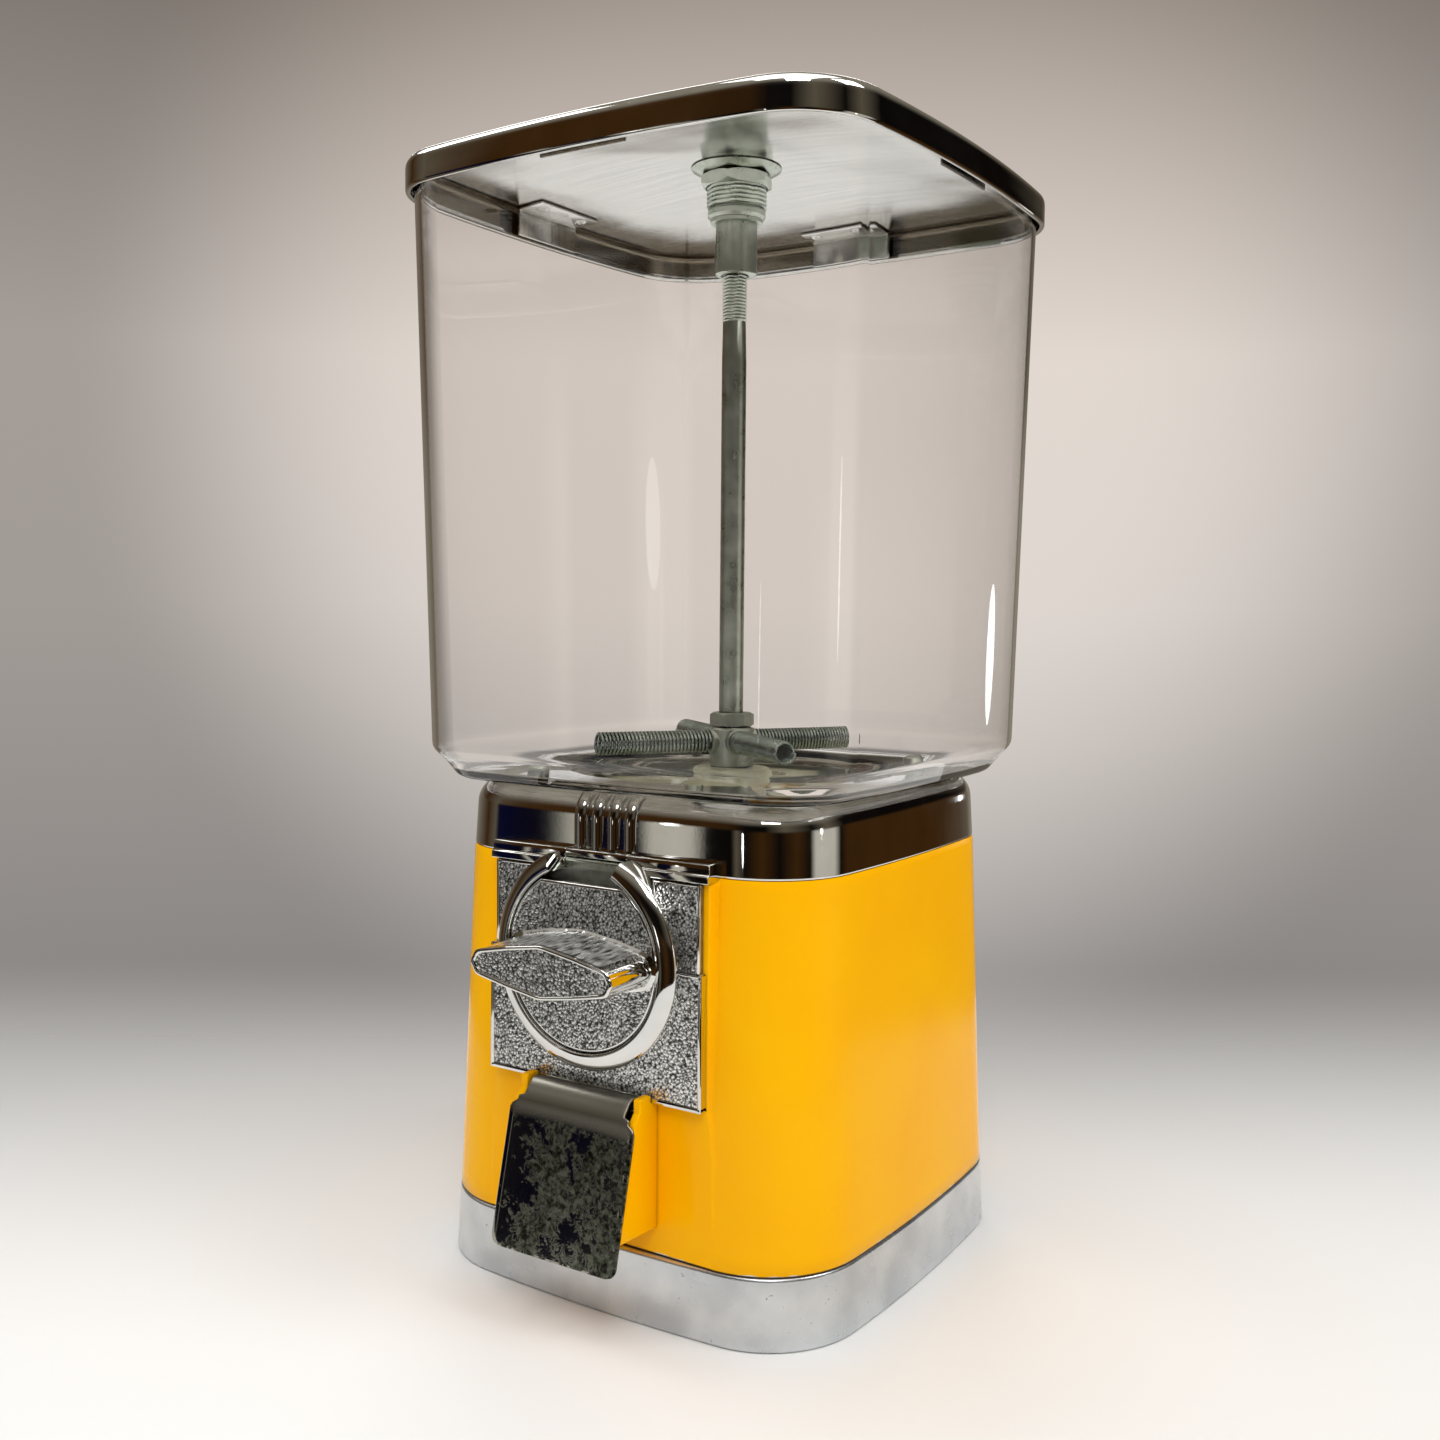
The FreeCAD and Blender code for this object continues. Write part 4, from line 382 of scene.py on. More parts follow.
def squareOutline(half, corner):
    centre, bend = cornerCentre(half, corner)
    sideEnd = asin(bend)
    side = []
    for k in range(sideSteps):
        angle = sideEnd * (2 * k / sideSteps - 1)
        side.append((bowRadius * sin(angle), bowRadius - half - bowRadius * cos(angle)))
    start, end = sideEnd - pi / 2, -sideEnd
    for k in range(cornerSteps):
        angle = start + (end - start) * k / cornerSteps
        side.append((centre + corner * cos(angle), -centre + corner * sin(angle)))
    return [(x * c - y * s, x * s + y * c) for c, s in circle(4) for x, y in side]


def squareRing(half, corner, z):
    return [(x, y, z) for x, y in squareOutline(half, corner)]


stackSquare = (80, 30)  # half width and corner of a usual square ring


def roundRing(radius, z):  # a circle whose points face the square ring's points
    angles = [atan2(y, x) for x, y in squareOutline(*stackSquare)]
    return [(radius * cos(angle), radius * sin(angle), z) for angle in angles]


def turnedShell(profile, count=64, centre=(0, 0), loop=False, thread=None):
    rings = []
    for radius, z in profile:
        ring = []
        for k, (c, s) in enumerate(circle(count)):
            r = radius
            if thread and thread["low"] <= z <= thread["high"] and abs(radius - thread["radius"]) < 0.01:
                turns = z / thread["pitch"] - k / count
                r -= thread["depth"] * abs(2 * (turns % 1) - 1)
            ring.append((centre[0] + r * c, centre[1] + r * s, z))
        rings.append(ring)
    return joinRings(rings, loop)


def threadRows(thread):
    length = thread["high"] - thread["low"]
    steps = int(length / thread["pitch"] * 6)
    return [(thread["radius"], thread["low"] + length * k / steps) for k in range(steps + 1)]


def hexShell(low, high, flats, bore, turn):
    count, across, lean = 96, flats / 2, 0.577  # a 30 degree chamfer
    face = across * 0.96
    rings = []
    for z, side in ((low, 1), (high, -1)):
        flat, edge = [], []
        for k, (c, s) in enumerate(circle(count, turn)):
            corner = across / cos((2 * pi * k / count + pi / 6) % (pi / 3) - pi / 6)
            flat.append((face * c, face * s, z))
            edge.append((corner * c, corner * s, z + side * (corner - face) * lean))
        rings += [flat, edge] if side == 1 else [edge, flat]
    for z, radius in ((high, bore + 0.4), (high - 0.4, bore), (low + 0.4, bore), (low, bore + 0.4)):
        rings.append([(radius * c, radius * s, z) for c, s in circle(count, turn)])
    return joinRings(rings, loop=True)


# cast base
baseShape = {"foot": 88.0, "rim": 87.1, "corner": 37.0, "height": 25.2, "wall": 4.0, "floor": 3.0, "edge": 1.2,
             "wellRadius": 17.0, "wellTop": 12.0, "bossRadius": 20.0, "bossTop": 15.0, "hole": 5.06,
             "lipTop": 28.2, "lipHalf": 83.5, "lipWall": 2.0, "lipEdge": 0.4, "boltPitch": 100.0, "boltRadius": 3.3}


def buildBase():
    b = SimpleNamespace(**baseShape)
    rings = [roundRing(*row) for row in (
        (b.hole, b.wellTop), (b.wellRadius - 1, b.wellTop), (b.wellRadius, b.wellTop - 1), (b.wellRadius, 0.8),
        (b.wellRadius + 0.8, 0))]
    rings += [squareRing(b.foot - sink, b.corner - sink, rise) for rise, sink in edgeRound(b.edge, 4)]
    rings += [squareRing(b.rim - sink, b.corner - sink, b.height - drop) for sink, drop in edgeRound(b.edge, 4)]
    corner = b.corner - b.wall
    outer, inner = b.lipHalf, b.lipHalf - b.lipWall
    rings += [squareRing(half, corner, z) for half, z in (
        (outer, b.height), (outer, b.lipTop - b.lipEdge), (outer - b.lipEdge, b.lipTop), (inner + b.lipEdge, b.lipTop),
        (inner, b.lipTop - b.lipEdge), (inner, b.height - 3), (b.rim - b.wall - 0.2, b.height - 4),
        (b.foot - b.wall - 0.2, b.floor + 2))]
    rings.append(squareRing(b.foot - b.wall - 2, corner - 2, b.floor))
    rings += [roundRing(*row) for row in (
        (b.bossRadius + 1.5, b.floor), (b.bossRadius, b.floor + 1.5), (b.bossRadius, b.bossTop - 0.8),
        (b.bossRadius - 0.8, b.bossTop), (b.hole, b.bossTop))]
    return joinRings(rings, loop=True)


castBase = addShell("castBase", buildBase(), "cabinet", "cast_base", [castZinc], "base")
reach, radius = baseShape["boltPitch"] / 2, baseShape["boltRadius"]
drillShell = gather(*[turnedShell([(0, -2), (radius, -2), (radius, 8), (0, 8)], 40, (x, y))
                      for x in (-reach, reach) for y in (-reach, reach)])
drill = bpy.data.objects.new("standBoltDrill", finishMesh("standBoltDrill", drillShell))
scene.collection.objects.link(drill)
bore = castBase.modifiers.new("standBolts", "BOOLEAN")
bore.operation = "DIFFERENCE"
bore.solver = "EXACT"
bore.object = drill
drilled = bpy.data.meshes.new_from_object(castBase.evaluated_get(bpy.context.evaluated_depsgraph_get()))
castBase.modifiers.clear()
castBase.data = drilled
bpy.data.objects.remove(drill)
smoothMesh(drilled, 32)
print("base built")


# enamelled cabinet: a bowed shell whose front is one flat panel that steps out towards the top
cabinetShape = {"low": 25.2, "high": 157.8, "lowHalf": 86.8, "highHalf": 81.5, "lowCorner": 36.7, "highCorner": 32.0,
                "wall": 3.0, "edge": 0.4, "panelFace": 84.9, "panelLow": 54.6,
                "padHalf": 47.0, "padLow": 80.0, "padTop": 156.2, "step": (-0.4, 0.8),
                "chuteHalf": 23.3, "chuteFloor": 38.0, "chuteRoof": 75.5,
                "windowHalf": 36.5, "windowLow": 91.5, "windowHigh": 151.5,
                "rows": (25.6, 31.0, 50.0, 63.0, 78.0, 85.0, 106.0, 121.0, 136.0, 155.2)}  # heights between the others


def panelEdge(z):
    c = SimpleNamespace(**cabinetShape)
    share = min((z - c.low) / (c.padLow - c.low), 1)
    return c.panelLow + (c.padHalf - c.panelLow) * share


def cabinetRing(z, sink, raised):
    c = SimpleNamespace(**cabinetShape)
    share = (z - c.low) / (c.high - c.low)
    half = c.lowHalf + (c.highHalf - c.lowHalf) * share - sink
    corner = c.lowCorner + (c.highCorner - c.lowCorner) * share - sink
    end = bowRadius * cornerCentre(half, corner)[1]
    edge = min(panelEdge(z), end - 2)
    low, high = c.step
    right = [0.0, c.chuteHalf / 2, c.chuteHalf, 30.0, c.windowHalf, 40.0]
    right += [edge + low + (high - low) * k / 6 for k in range(7)]
    right += [edge + high + (end - edge - high) * k / 4 for k in (1, 2, 3)]
    columns = [-x for x in reversed(right)] + right[1:]
    ring = []
    for x in columns:
        wall = bowRadius - half - sqrt(bowRadius ** 2 - x * x)
        if raised:
            t = min(max((abs(x) - edge - low) / (high - low), 0), 1)
            wall += (1 - t * t * (3 - 2 * t)) * (-c.panelFace - wall)
        ring.append((x, wall, z))
    return ring + squareRing(half, corner, z)[sideSteps:], len(columns)


def buildCabinet():
    c = SimpleNamespace(**cabinetShape)
    heights = sorted((c.low, c.chuteFloor, c.chuteRoof, c.padLow, c.windowLow, c.windowHigh, c.padTop, c.high) + c.rows)
    points = []
    for sink in (0, c.wall):
        for z in heights:
            trim = c.edge if sink == 0 and z in (c.low, c.high) else 0
            ring, frontCount = cabinetRing(z, sink + trim, sink == 0 and z < c.padTop + 0.1)
            points += ring
    rows, count = len(heights), len(ring)
    columns = [p[0] for p in points[5 * count:5 * count + frontCount]]

    def isOpen(row, column):
        if not 0 <= row < rows - 1 or not 0 <= column < frontCount - 1:
            return False
        x = abs(columns[column] + columns[column + 1]) / 2
        z = (heights[row] + heights[row + 1]) / 2
        chute = x < c.chuteHalf and c.chuteFloor < z < c.chuteRoof
        window = x < c.windowHalf and c.windowLow < z < c.windowHigh
        return chute or window

    def corner(row, column, side):
        return (side * rows + row) * count + column % count

    def strip(first, second):  # from the outer skin to the inner one
        return corner(*first, 0), corner(*second, 0), corner(*second, 1), corner(*first, 1)

    faces = []
    for row in range(rows - 1):
        for column in range(count):
            here, right, above, across = (row, column), (row, column + 1), (row + 1, column), (row + 1, column + 1)
            if isOpen(*here):
                for first, second, beyond in ((here, right, (row - 1, column)), (above, across, above),
                                              (here, above, (row, column - 1)), (right, across, right)):
                    if not isOpen(*beyond):
                        faces.append(strip(first, second))
            else:
                faces += [tuple(corner(*place, side) for place in (here, right, across, above)) for side in (0, 1)]
    faces += [strip((row, column), (row, column + 1)) for row in (0, rows - 1) for column in range(count)]
    return points, faces, [0] * len(faces)


chuteShape = {"inner": 23.3, "outer": 26.3, "buried": 82.4, "floorBack": 38.0, "floorFront": 37.6,
              "footBack": 35.0, "footFront": 36.0, "frontLow": 106.6, "frontHigh": 97.7, "shoulder": 74.5,
              "hingeFace": 91.6, "hingeHeight": 79.0, "earRadius": 3.3, "earBack": 88.8, "earFoot": 79.7}


def buildChute():
    c = SimpleNamespace(**chuteShape)
    earTop, earFace = c.hingeHeight + c.earRadius, c.hingeFace + c.earRadius
    cheek = [(c.buried, c.footBack), (c.frontLow, c.footFront), (c.frontHigh, c.shoulder),
             (earFace, c.hingeHeight - 1.4), (earFace, earTop - 0.6), (earFace - 0.6, earTop),
             (c.earBack, earTop), (c.earBack, c.earFoot), (c.buried, c.earFoot)]
    floor = [(c.buried, c.footBack), (c.frontLow - 0.1, c.footFront), (c.frontLow - 0.5, c.floorFront),
             (c.buried, c.floorBack)]
    return gather(prismX(cheek, c.inner, c.outer), prismX(cheek, -c.outer, -c.inner),
                  prismX(floor, -c.inner - 0.5, c.inner + 0.5))


addShell("enamelCabinet", buildCabinet(), "cabinet", "enamel", [enamel], "body_shell", sharp=50)
addShell("chuteCheeks", buildChute(), "cabinet", "enamel", [enamel], "body_shell", sharp=40, soften=0.8, steps=3)
print("cabinet built")


# chrome collar with its four ribs and the ledge over the coin slot
collarShape = {"low": 157.8, "high": 183.0, "lowHalf": 81.3, "highHalf": 80.6, "corner": 32.0, "round": 10.0,
               "mouth": 62.0, "flange": 3.0, "innerHalf": 73.0, "wallTop": 176.0, "wall": 4.5,
               "lipLow": 154.8, "lipTop": 160.8, "lipOuter": 78.2, "lipInner": 76.2,
               "ribs": (-10.8, -3.6, 3.6, 10.8), "ribRadius": 3.0, "ribSink": 1.0, "ribLow": 162.6, "ribTurn": 62.0,
               "ledgeHalf": 47.4, "ledgeLow": 156.6, "ledgeHigh": 163.2, "ledgeBack": 78.6, "ledgeFace": 86.0,
               "ledgeLip": 86.9, "lipRise": 159.1, "beadFoot": 159.6, "slotHalf": 13.5, "slotTop": 160.4,
               "rollBack": 81.0, "rollFace": 86.1, "rollFoot": 155.2, "rollDepth": 2.2, "rollDrop": 1.65}


def ribShell(x):
    c = SimpleNamespace(**collarShape)
    axis, bend, swing = c.highHalf - c.round, c.high - c.round, c.round - c.ribSink
    path = [(c.highHalf - c.ribSink, c.ribLow + rise, 0.0, c.ribRadius) for rise in (0, 3, 6, 9)]
    for k in range(9):
        angle = radians(c.ribTurn * k / 8)
        path.append((axis + swing * cos(angle), bend + swing * sin(angle), angle, c.ribRadius))
    f, z, angle, radius = path[-1]
    for k in range(4):  # rounded upper end
        grow = radius * 0.7 * sin(radians(30 * k))
        size = radius * max(cos(radians(30 * k)), 0.05)
        path.append((f - grow * sin(angle), z + grow * cos(angle), angle, size))
    return cappedShell([[(x + size * s, -(f + size * c * cos(angle)), z + size * c * sin(angle))
                         for c, s in circle(20)] for f, z, angle, size in path])


def buildCollar():
    c = SimpleNamespace(**collarShape)
    rows = [(c.lowHalf - 0.5, c.corner - 0.5, c.low), (c.lowHalf, c.corner, c.low + 0.5),
            (c.lowHalf, c.corner, c.low + 1.1)]
    rows += [(c.highHalf - sink, c.corner - sink, c.high - drop) for sink, drop in edgeRound(c.round, 10)]
    rings = [squareRing(*row) for row in rows]
    under = c.high - c.flange
    rings += [roundRing(c.mouth + 0.6, c.high), roundRing(c.mouth, c.high - 0.6), roundRing(c.mouth, under)]
    innerCorner, tuck = c.corner - c.wall, c.corner - 3.3
    rings += [squareRing(*row) for row in (
        (c.innerHalf, innerCorner - 3, under), (c.highHalf - c.wall, innerCorner, c.wallTop),
        (c.lowHalf - c.wall, innerCorner, c.lipTop + 0.6), (c.lipInner, innerCorner, c.lipTop),
        (c.lipInner, innerCorner, c.lipLow), (c.lipOuter, tuck, c.lipLow), (c.lipOuter, tuck, c.low))]
    return joinRings(rings, loop=True)


def ledgeShell():
    c = SimpleNamespace(**collarShape)
    bead = [(c.ledgeBack, c.ledgeHigh), (c.ledgeFace - 0.3, c.ledgeHigh), (c.ledgeFace, c.ledgeHigh - 0.4),
            (c.ledgeFace, c.slotTop)]
    ends = [(c.ledgeFace, c.beadFoot), (c.ledgeLip, c.lipRise), (c.ledgeLip, c.ledgeLow), (c.ledgeBack, c.ledgeLow)]
    return gather(prismX(bead + ends, -c.ledgeHalf, -c.slotHalf), prismX(bead + ends, c.slotHalf, c.ledgeHalf),
                  prismX(bead + [(c.ledgeBack, c.slotTop)], -c.slotHalf - 0.01, c.slotHalf + 0.01))


def coinLip():  # rolled lip that guides the coin under the ledge
    c = SimpleNamespace(**collarShape)
    top = c.slotTop - 0.05
    roll = [(c.rollBack, top)]
    roll += [(c.rollFace - c.rollDepth * back, top - c.rollDrop * drop) for drop, back in edgeRound(1, 6)]
    roll += [(c.rollFace - 0.2, c.rollFoot + 0.8), (c.rollFace - 1.0, c.rollFoot), (c.rollBack, c.rollFoot)]
    return prismX(roll, -c.slotHalf + 0.05, c.slotHalf - 0.05)


collarShell = gather(buildCollar(), *[ribShell(x) for x in collarShape["ribs"]])
for name, shell, finish, edges in (
        ("chromeCollar", collarShell, chrome, {"sharp": 45}),
        ("collarLedge", ledgeShell(), chrome, {"sharp": 40, "soften": 0.35, "steps": 3}),
        ("coinLip", coinLip(), zincPlate, {"sharp": 40})):
    addShell(name, shell, "cabinet", "chrome_castings", [finish], "collar", **edges)
print("collar built")


# clear canister: one moulded wall with a chamfered foot, open at the top and over the wheel
canisterShape = {"low": 183.0, "floorHalf": 83.4, "floorCorner": 24.0, "foot": 194.2, "footHalf": 93.2, "corner": 30.0,
                 "top": 408.5, "topHalf": 97.7, "wall": 2.2, "floor": 3.0, "mouth": 62.0, "edge": 0.5}


def canisterSkin(sink, floor):
    c = SimpleNamespace(**canisterShape)
    lean = (c.footHalf - c.floorHalf) / (c.foot - c.low)
    rise = (c.topHalf - c.footHalf) / (c.top - c.foot)
    rows = []
    for inset, lift, up in ((3.5, 0, 0), (2.0, 0, 0), (0.6, 0, 0.25), (0, 1.2, 1.2), (0, 2.0, 2.0)):
        rows.append((c.floorHalf - inset + lean * (floor + lift - c.low), c.floorCorner, floor + up))
    # the soft knuckle of the foot, with a ring beyond each end so that the flat walls shade flat
    for drop, share in ((-4.2, 0.0), (-3.0, 0.0), (-1.6, 0.12), (-0.5, 0.4), (0.8, 0.75), (2.4, 1.0), (3.4, 1.0)):
        half = c.footHalf + min(lean * drop, rise * drop) - 0.35 * (1 - abs(2 * share - 1))
        rows.append((half, c.corner, c.foot + drop))
    for z in [c.foot + 36 * k for k in range(1, 6)] + [c.top - 1.2, c.top - 0.5]:
        rows.append((c.footHalf + rise * (z - c.foot), c.corner, z))
    return [squareRing(half - sink, corner - sink, z) for half, corner, z in rows]


def buildCanister():
    c = SimpleNamespace(**canisterShape)
    outer = canisterSkin(0, c.low)
    inner = canisterSkin(c.wall, c.low + c.floor)
    rim = [squareRing(c.topHalf - sink, c.corner - sink, c.top) for sink in (c.edge, c.wall - c.edge)]
    mouth = [roundRing(c.mouth + grow, z) for grow, z in (
        (c.edge, c.low + c.floor), (0, c.low + c.floor - c.edge), (0, c.low + c.edge), (c.edge, c.low))]
    return joinRings(outer + rim + inner[::-1] + mouth, loop=True)


addShell("clearCanister", buildCanister(), "cabinet", "clear_canister", [clearPlastic], "canister", sharp=60)
print("canister built")


# pressed lid: one sheet with a curled hem, a rounded edge and a low crown
lidShape = {"low": 398.5, "half": 100.7, "corner": 33.0, "edge": 411.0, "round": 4.0, "crown": 417.0, "crownHalf": 24.0,
            "crownFlat": 18.0, "sheet": 1.0, "hemRadius": 1.05, "hemRise": 2.6, "hole": 11.16}


def lidDome(sink):
    d = SimpleNamespace(**lidShape)
    half, corner = d.half - d.round, d.corner - d.round
    rings = []
    for k in range(1, 9):
        share = k / 8
        rings.append(squareRing(half + (d.crownHalf - half) * share, corner + (d.crownHalf * 0.9 - corner) * share,
                                d.edge + (d.crown - d.edge) * share - sink))
    return rings + [roundRing(radius, d.crown - sink) for radius in (d.crownFlat, d.hole)]


def buildLid():
    d = SimpleNamespace(**lidShape)

    def lidRing(sink, z):
        return squareRing(d.half - sink, d.corner - sink, z)

    outside = [lidRing(0, d.low + d.hemRadius + rise) for rise in (0, 3, 6)]
    outside += [lidRing(sink, d.edge - drop) for sink, drop in edgeRound(d.round, 7)] + lidDome(0)
    inside = lidDome(d.sheet)[::-1]
    inside += [lidRing(d.sheet + sink, d.edge - d.sheet - drop)
               for sink, drop in reversed(edgeRound(d.round - d.sheet, 6))]
    inside += [lidRing(d.sheet, d.low + d.hemRise + 0.7), lidRing(d.sheet + 1.0, d.low + d.hemRise)]
    hem = []
    for k in range(1, 9):  # the curl under the skirt
        angle = pi * k / 8
        hem.append(lidRing(d.hemRadius * (1 + cos(angle)), d.low + d.hemRadius * (1 - sin(angle))))
    rings = outside + inside + hem
    points, faces, kinds = joinRings(rings, loop=True)
    first, last = len(outside) - 1, len(outside) + len(inside) - 3  # the rows of the underside
    kinds = [1 if first <= k // len(rings[0]) <= last else 0 for k in range(len(faces))]
    return points, faces, kinds


addShell("pressedLid", buildLid(), "lid", "lid_steel", [chrome, brushedSteel], "lid", sharp=50)

bracketShape = {"outer": 93.9, "reach": 13.0, "low": 399.0, "half": 18.0, "sheet": 1.0, "lidUnder": 410.0,
                "lidInner": 96.2, "slope": 0.0831, "gap": 0.1,
                "weldRadius": 2.6, "weldDrop": 0.9, "weldX": 12.0, "weldInset": 8.0}


def lidUnder(place):
    b = SimpleNamespace(**bracketShape)
    return b.lidUnder + (b.lidInner - place) * b.slope - b.gap


def bracketShell():
    b = SimpleNamespace(**bracketShape)
    tip, back = b.outer - b.reach, b.outer - b.sheet
    return prismX([(b.outer, b.low), (b.outer, lidUnder(b.outer)), (tip, lidUnder(tip)), (tip, lidUnder(tip) - b.sheet),
                   (back, lidUnder(back) - b.sheet), (back, b.low)], -b.half, b.half)


def weldShell():
    b = SimpleNamespace(**bracketShape)
    place = b.outer - b.weldInset
    under = lidUnder(place) - b.sheet
    profile = [(b.weldRadius * wide, under - b.weldDrop * deep)
               for wide, deep in ((0, 0.5), (0.35, 0.65), (0.7, 1.0), (1.0, 0.4))]
    profile += [(b.weldRadius * 1.1, under + 0.4), (0, under + 0.4)]
    return gather(*[turnedShell(profile, 28, (x, -place)) for x in (-b.weldX, b.weldX)])


for quarter, side in enumerate(("front", "right", "back", "left")):
    for label, shell, edges in (("lidBracket", bracketShell(), {"sharp": 30, "soften": 0.35}),
                                ("spotWelds", weldShell(), {"sharp": 60})):
        mesh = finishMesh(label, shell, **edges)
        mesh.transform(Matrix.Rotation(pi / 2 * quarter, 4, "Z"))
        addPiece(label + side.capitalize(), mesh, "lid", [brushedSteel], "lid_bracket_" + side)
print("lid built")


# lid lock: barrel through the crown, dished washer, nut, and the tube that screws on to the rod
lockShape = {"crown": 417.0, "under": 416.0, "barrelLow": 396.6, "barrelRadius": 11.1, "threadLow": 400.6,
             "threadHigh": 410.0, "pitch": 1.6, "depth": 0.75, "headRadius": 15.0, "headHigh": 420.0,
             "boreRadius": 7.51, "headBore": 9.06, "seat": 418.2, "washerRadius": 17.0, "dish": 2.4, "nutFlats": 23.8,
             "nutHeight": 5.3, "nutTurn": 0.35, "tubeRadius": 7.45, "tubeLow": 375.4, "tubeTop": 406.0,
             "tubeBore": 4.95, "tubeDepth": 19.0}
k = SimpleNamespace(**lockShape)
neck = k.barrelRadius - 0.1
barrelThread = {"low": k.threadLow, "high": k.threadHigh, "radius": k.barrelRadius, "pitch": k.pitch, "depth": k.depth}
barrel = [(k.boreRadius, k.barrelLow), (k.barrelRadius - 1.6, k.barrelLow), (k.barrelRadius - 0.5, k.barrelLow + 1.1),
          (k.barrelRadius - 0.5, k.threadLow - 1.0), (k.barrelRadius - 1.0, k.threadLow - 0.6),
          (k.barrelRadius - 1.0, k.threadLow - 0.2)]
barrel += threadRows(barrelThread)
barrel += [(neck, k.threadHigh + 0.5), (neck, k.crown), (k.headRadius, k.crown), (k.headRadius, k.headHigh - 1.5),
           (k.headRadius - 0.45, k.headHigh - 0.45), (k.headRadius - 1.5, k.headHigh), (k.headBore, k.headHigh),
           (k.headBore, k.seat), (k.boreRadius, k.seat)]
hole, dish = k.barrelRadius + 0.06, k.under - k.dish
washer = [(hole, dish), (hole + 1.2, dish), (hole + 3.0, dish + 0.55), (k.washerRadius - 0.8, k.under - 0.75),
          (k.washerRadius, k.under - 0.4), (k.washerRadius - 0.2, k.under), (k.washerRadius - 1.2, k.under),
          (hole + 2.6, dish + 1.5), (hole, dish + 1.0)]
tubeEnd = k.tubeLow + k.tubeDepth
tube = [(k.tubeBore, tubeEnd), (k.tubeBore, k.tubeLow + 0.6), (k.tubeBore + 0.6, k.tubeLow),
        (k.tubeRadius - 0.7, k.tubeLow), (k.tubeRadius, k.tubeLow + 0.7), (k.tubeRadius, k.tubeTop),
        (0, k.tubeTop), (0, tubeEnd)]

# centre rod with the thread that the lock's tube runs on, and the nut over the agitator
rodShape = {"foot": 2.0, "top": 392.4, "radius": 4.76, "threadLow": 358.0, "pitch": 1.27, "depth": 0.65,
            "nutLow": 201.4, "nutHigh": 206.9, "nutFlats": 14.3, "nutBore": 4.82, "nutTurn": 0.2}
r = SimpleNamespace(**rodShape)
rodThread = {"low": r.threadLow, "high": r.top - 1.2, "radius": r.radius, "pitch": r.pitch, "depth": r.depth}
rod = [(0, r.foot), (r.radius - 0.8, r.foot), (r.radius, r.foot + 0.8)]
rod += [(r.radius - 0.02, r.foot + 4 + 24 * step) for step in range(15)]
rod += threadRows(rodThread) + [(r.radius - 0.9, r.top), (0, r.top)]
for name, shell, sharp, body, node in (
        ("lockBarrel", turnedShell(barrel, 72, loop=True, thread=barrelThread), 40, "lid", "lock_barrel"),
        ("lockWasher", turnedShell(washer, 72, loop=True), 50, "lid", "lock_washer"),
        ("lockNut", hexShell(dish - k.nutHeight, dish, k.nutFlats, hole, k.nutTurn), 25, "lid", "lock_nut"),
        ("lockTube", turnedShell(tube, 56, loop=True), 40, "lock", "lock_tube"),
        ("centreRod", turnedShell(rod, 40, thread=rodThread), 40, "cabinet", "centre_rod"),
        ("jamNut", hexShell(r.nutLow, r.nutHigh, r.nutFlats, r.nutBore, r.nutTurn), 25, "cabinet", "jam_nut")):
    addShell(name, shell, body, "zinc_hardware", [zincPlate], node, sharp=sharp)
print("rod and lock built")


# agitator: a sleeve with four studs, each carrying a close-wound spring
agitatorShape = {"low": 185.1, "high": 201.1, "radius": 8.1, "bore": 4.82, "level": 195.8, "angle": 53.9, "seat": 9.0,
                 "seatRadius": 4.9, "seatBack": 6.2, "studRadius": 2.7, "studLength": 16.0,
                 "springRadius": 3.85, "springEnd": 54.4, "wire": 1.3, "turnSteps": 18,
                 "turns": 30}  # turns drawn coarser than the real 1.1 mm wire, so that they show
a = SimpleNamespace(**agitatorShape)
skyward = Vector((0, 0, 1))
arms = []
for quarter in range(4):
    heading = radians(a.angle + 90 * quarter)
    arms.append((Vector((cos(heading), sin(heading), 0)), Vector((-sin(heading), cos(heading), 0))))
sleeve = [(a.bore, a.low), (a.radius - 0.6, a.low), (a.radius, a.low + 0.6), (a.radius, a.high - 0.8),
          (a.radius - 0.8, a.high), (a.bore, a.high)]
stud = [(a.seatRadius, a.seatBack), (a.seatRadius, a.seat - 0.5), (a.seatRadius - 0.5, a.seat), (a.studRadius, a.seat),
        (a.studRadius, a.studLength - 0.5), (a.studRadius - 0.5, a.studLength), (0.0, a.studLength)]
shells = [turnedShell(sleeve, 56, loop=True)]
for along, across in arms:
    rings = [[along * place + across * radius * c + skyward * (a.level + radius * s) for c, s in circle(32)]
             for radius, place in stud]
    shells.append(gather(joinRings(rings), capRing(rings[0])))
addShell("agitatorHub", gather(*shells), "wheel", "zinc_hardware", [zincPlate], "agitator_hub", sharp=40)
for number, (along, across) in enumerate(arms, 1):
    rings = []
    steps, start = a.turns * a.turnSteps, a.seat + a.wire / 2
    for step in range(steps + 1):
        turn = 2 * pi * step / a.turnSteps
        out = across * cos(turn) + skyward * sin(turn)
        middle = along * (start + (a.springEnd - start) * step / steps) + out * a.springRadius + skyward * a.level
        rings.append([middle + (out * c + along * s) * a.wire / 2 for c, s in circle(8)])
    addShell(f"springArm{number}", cappedShell(rings), "wheel", "spring_wire", [springWire],
             f"agitator_spring_{number}", sharp=60)
print("agitator built")


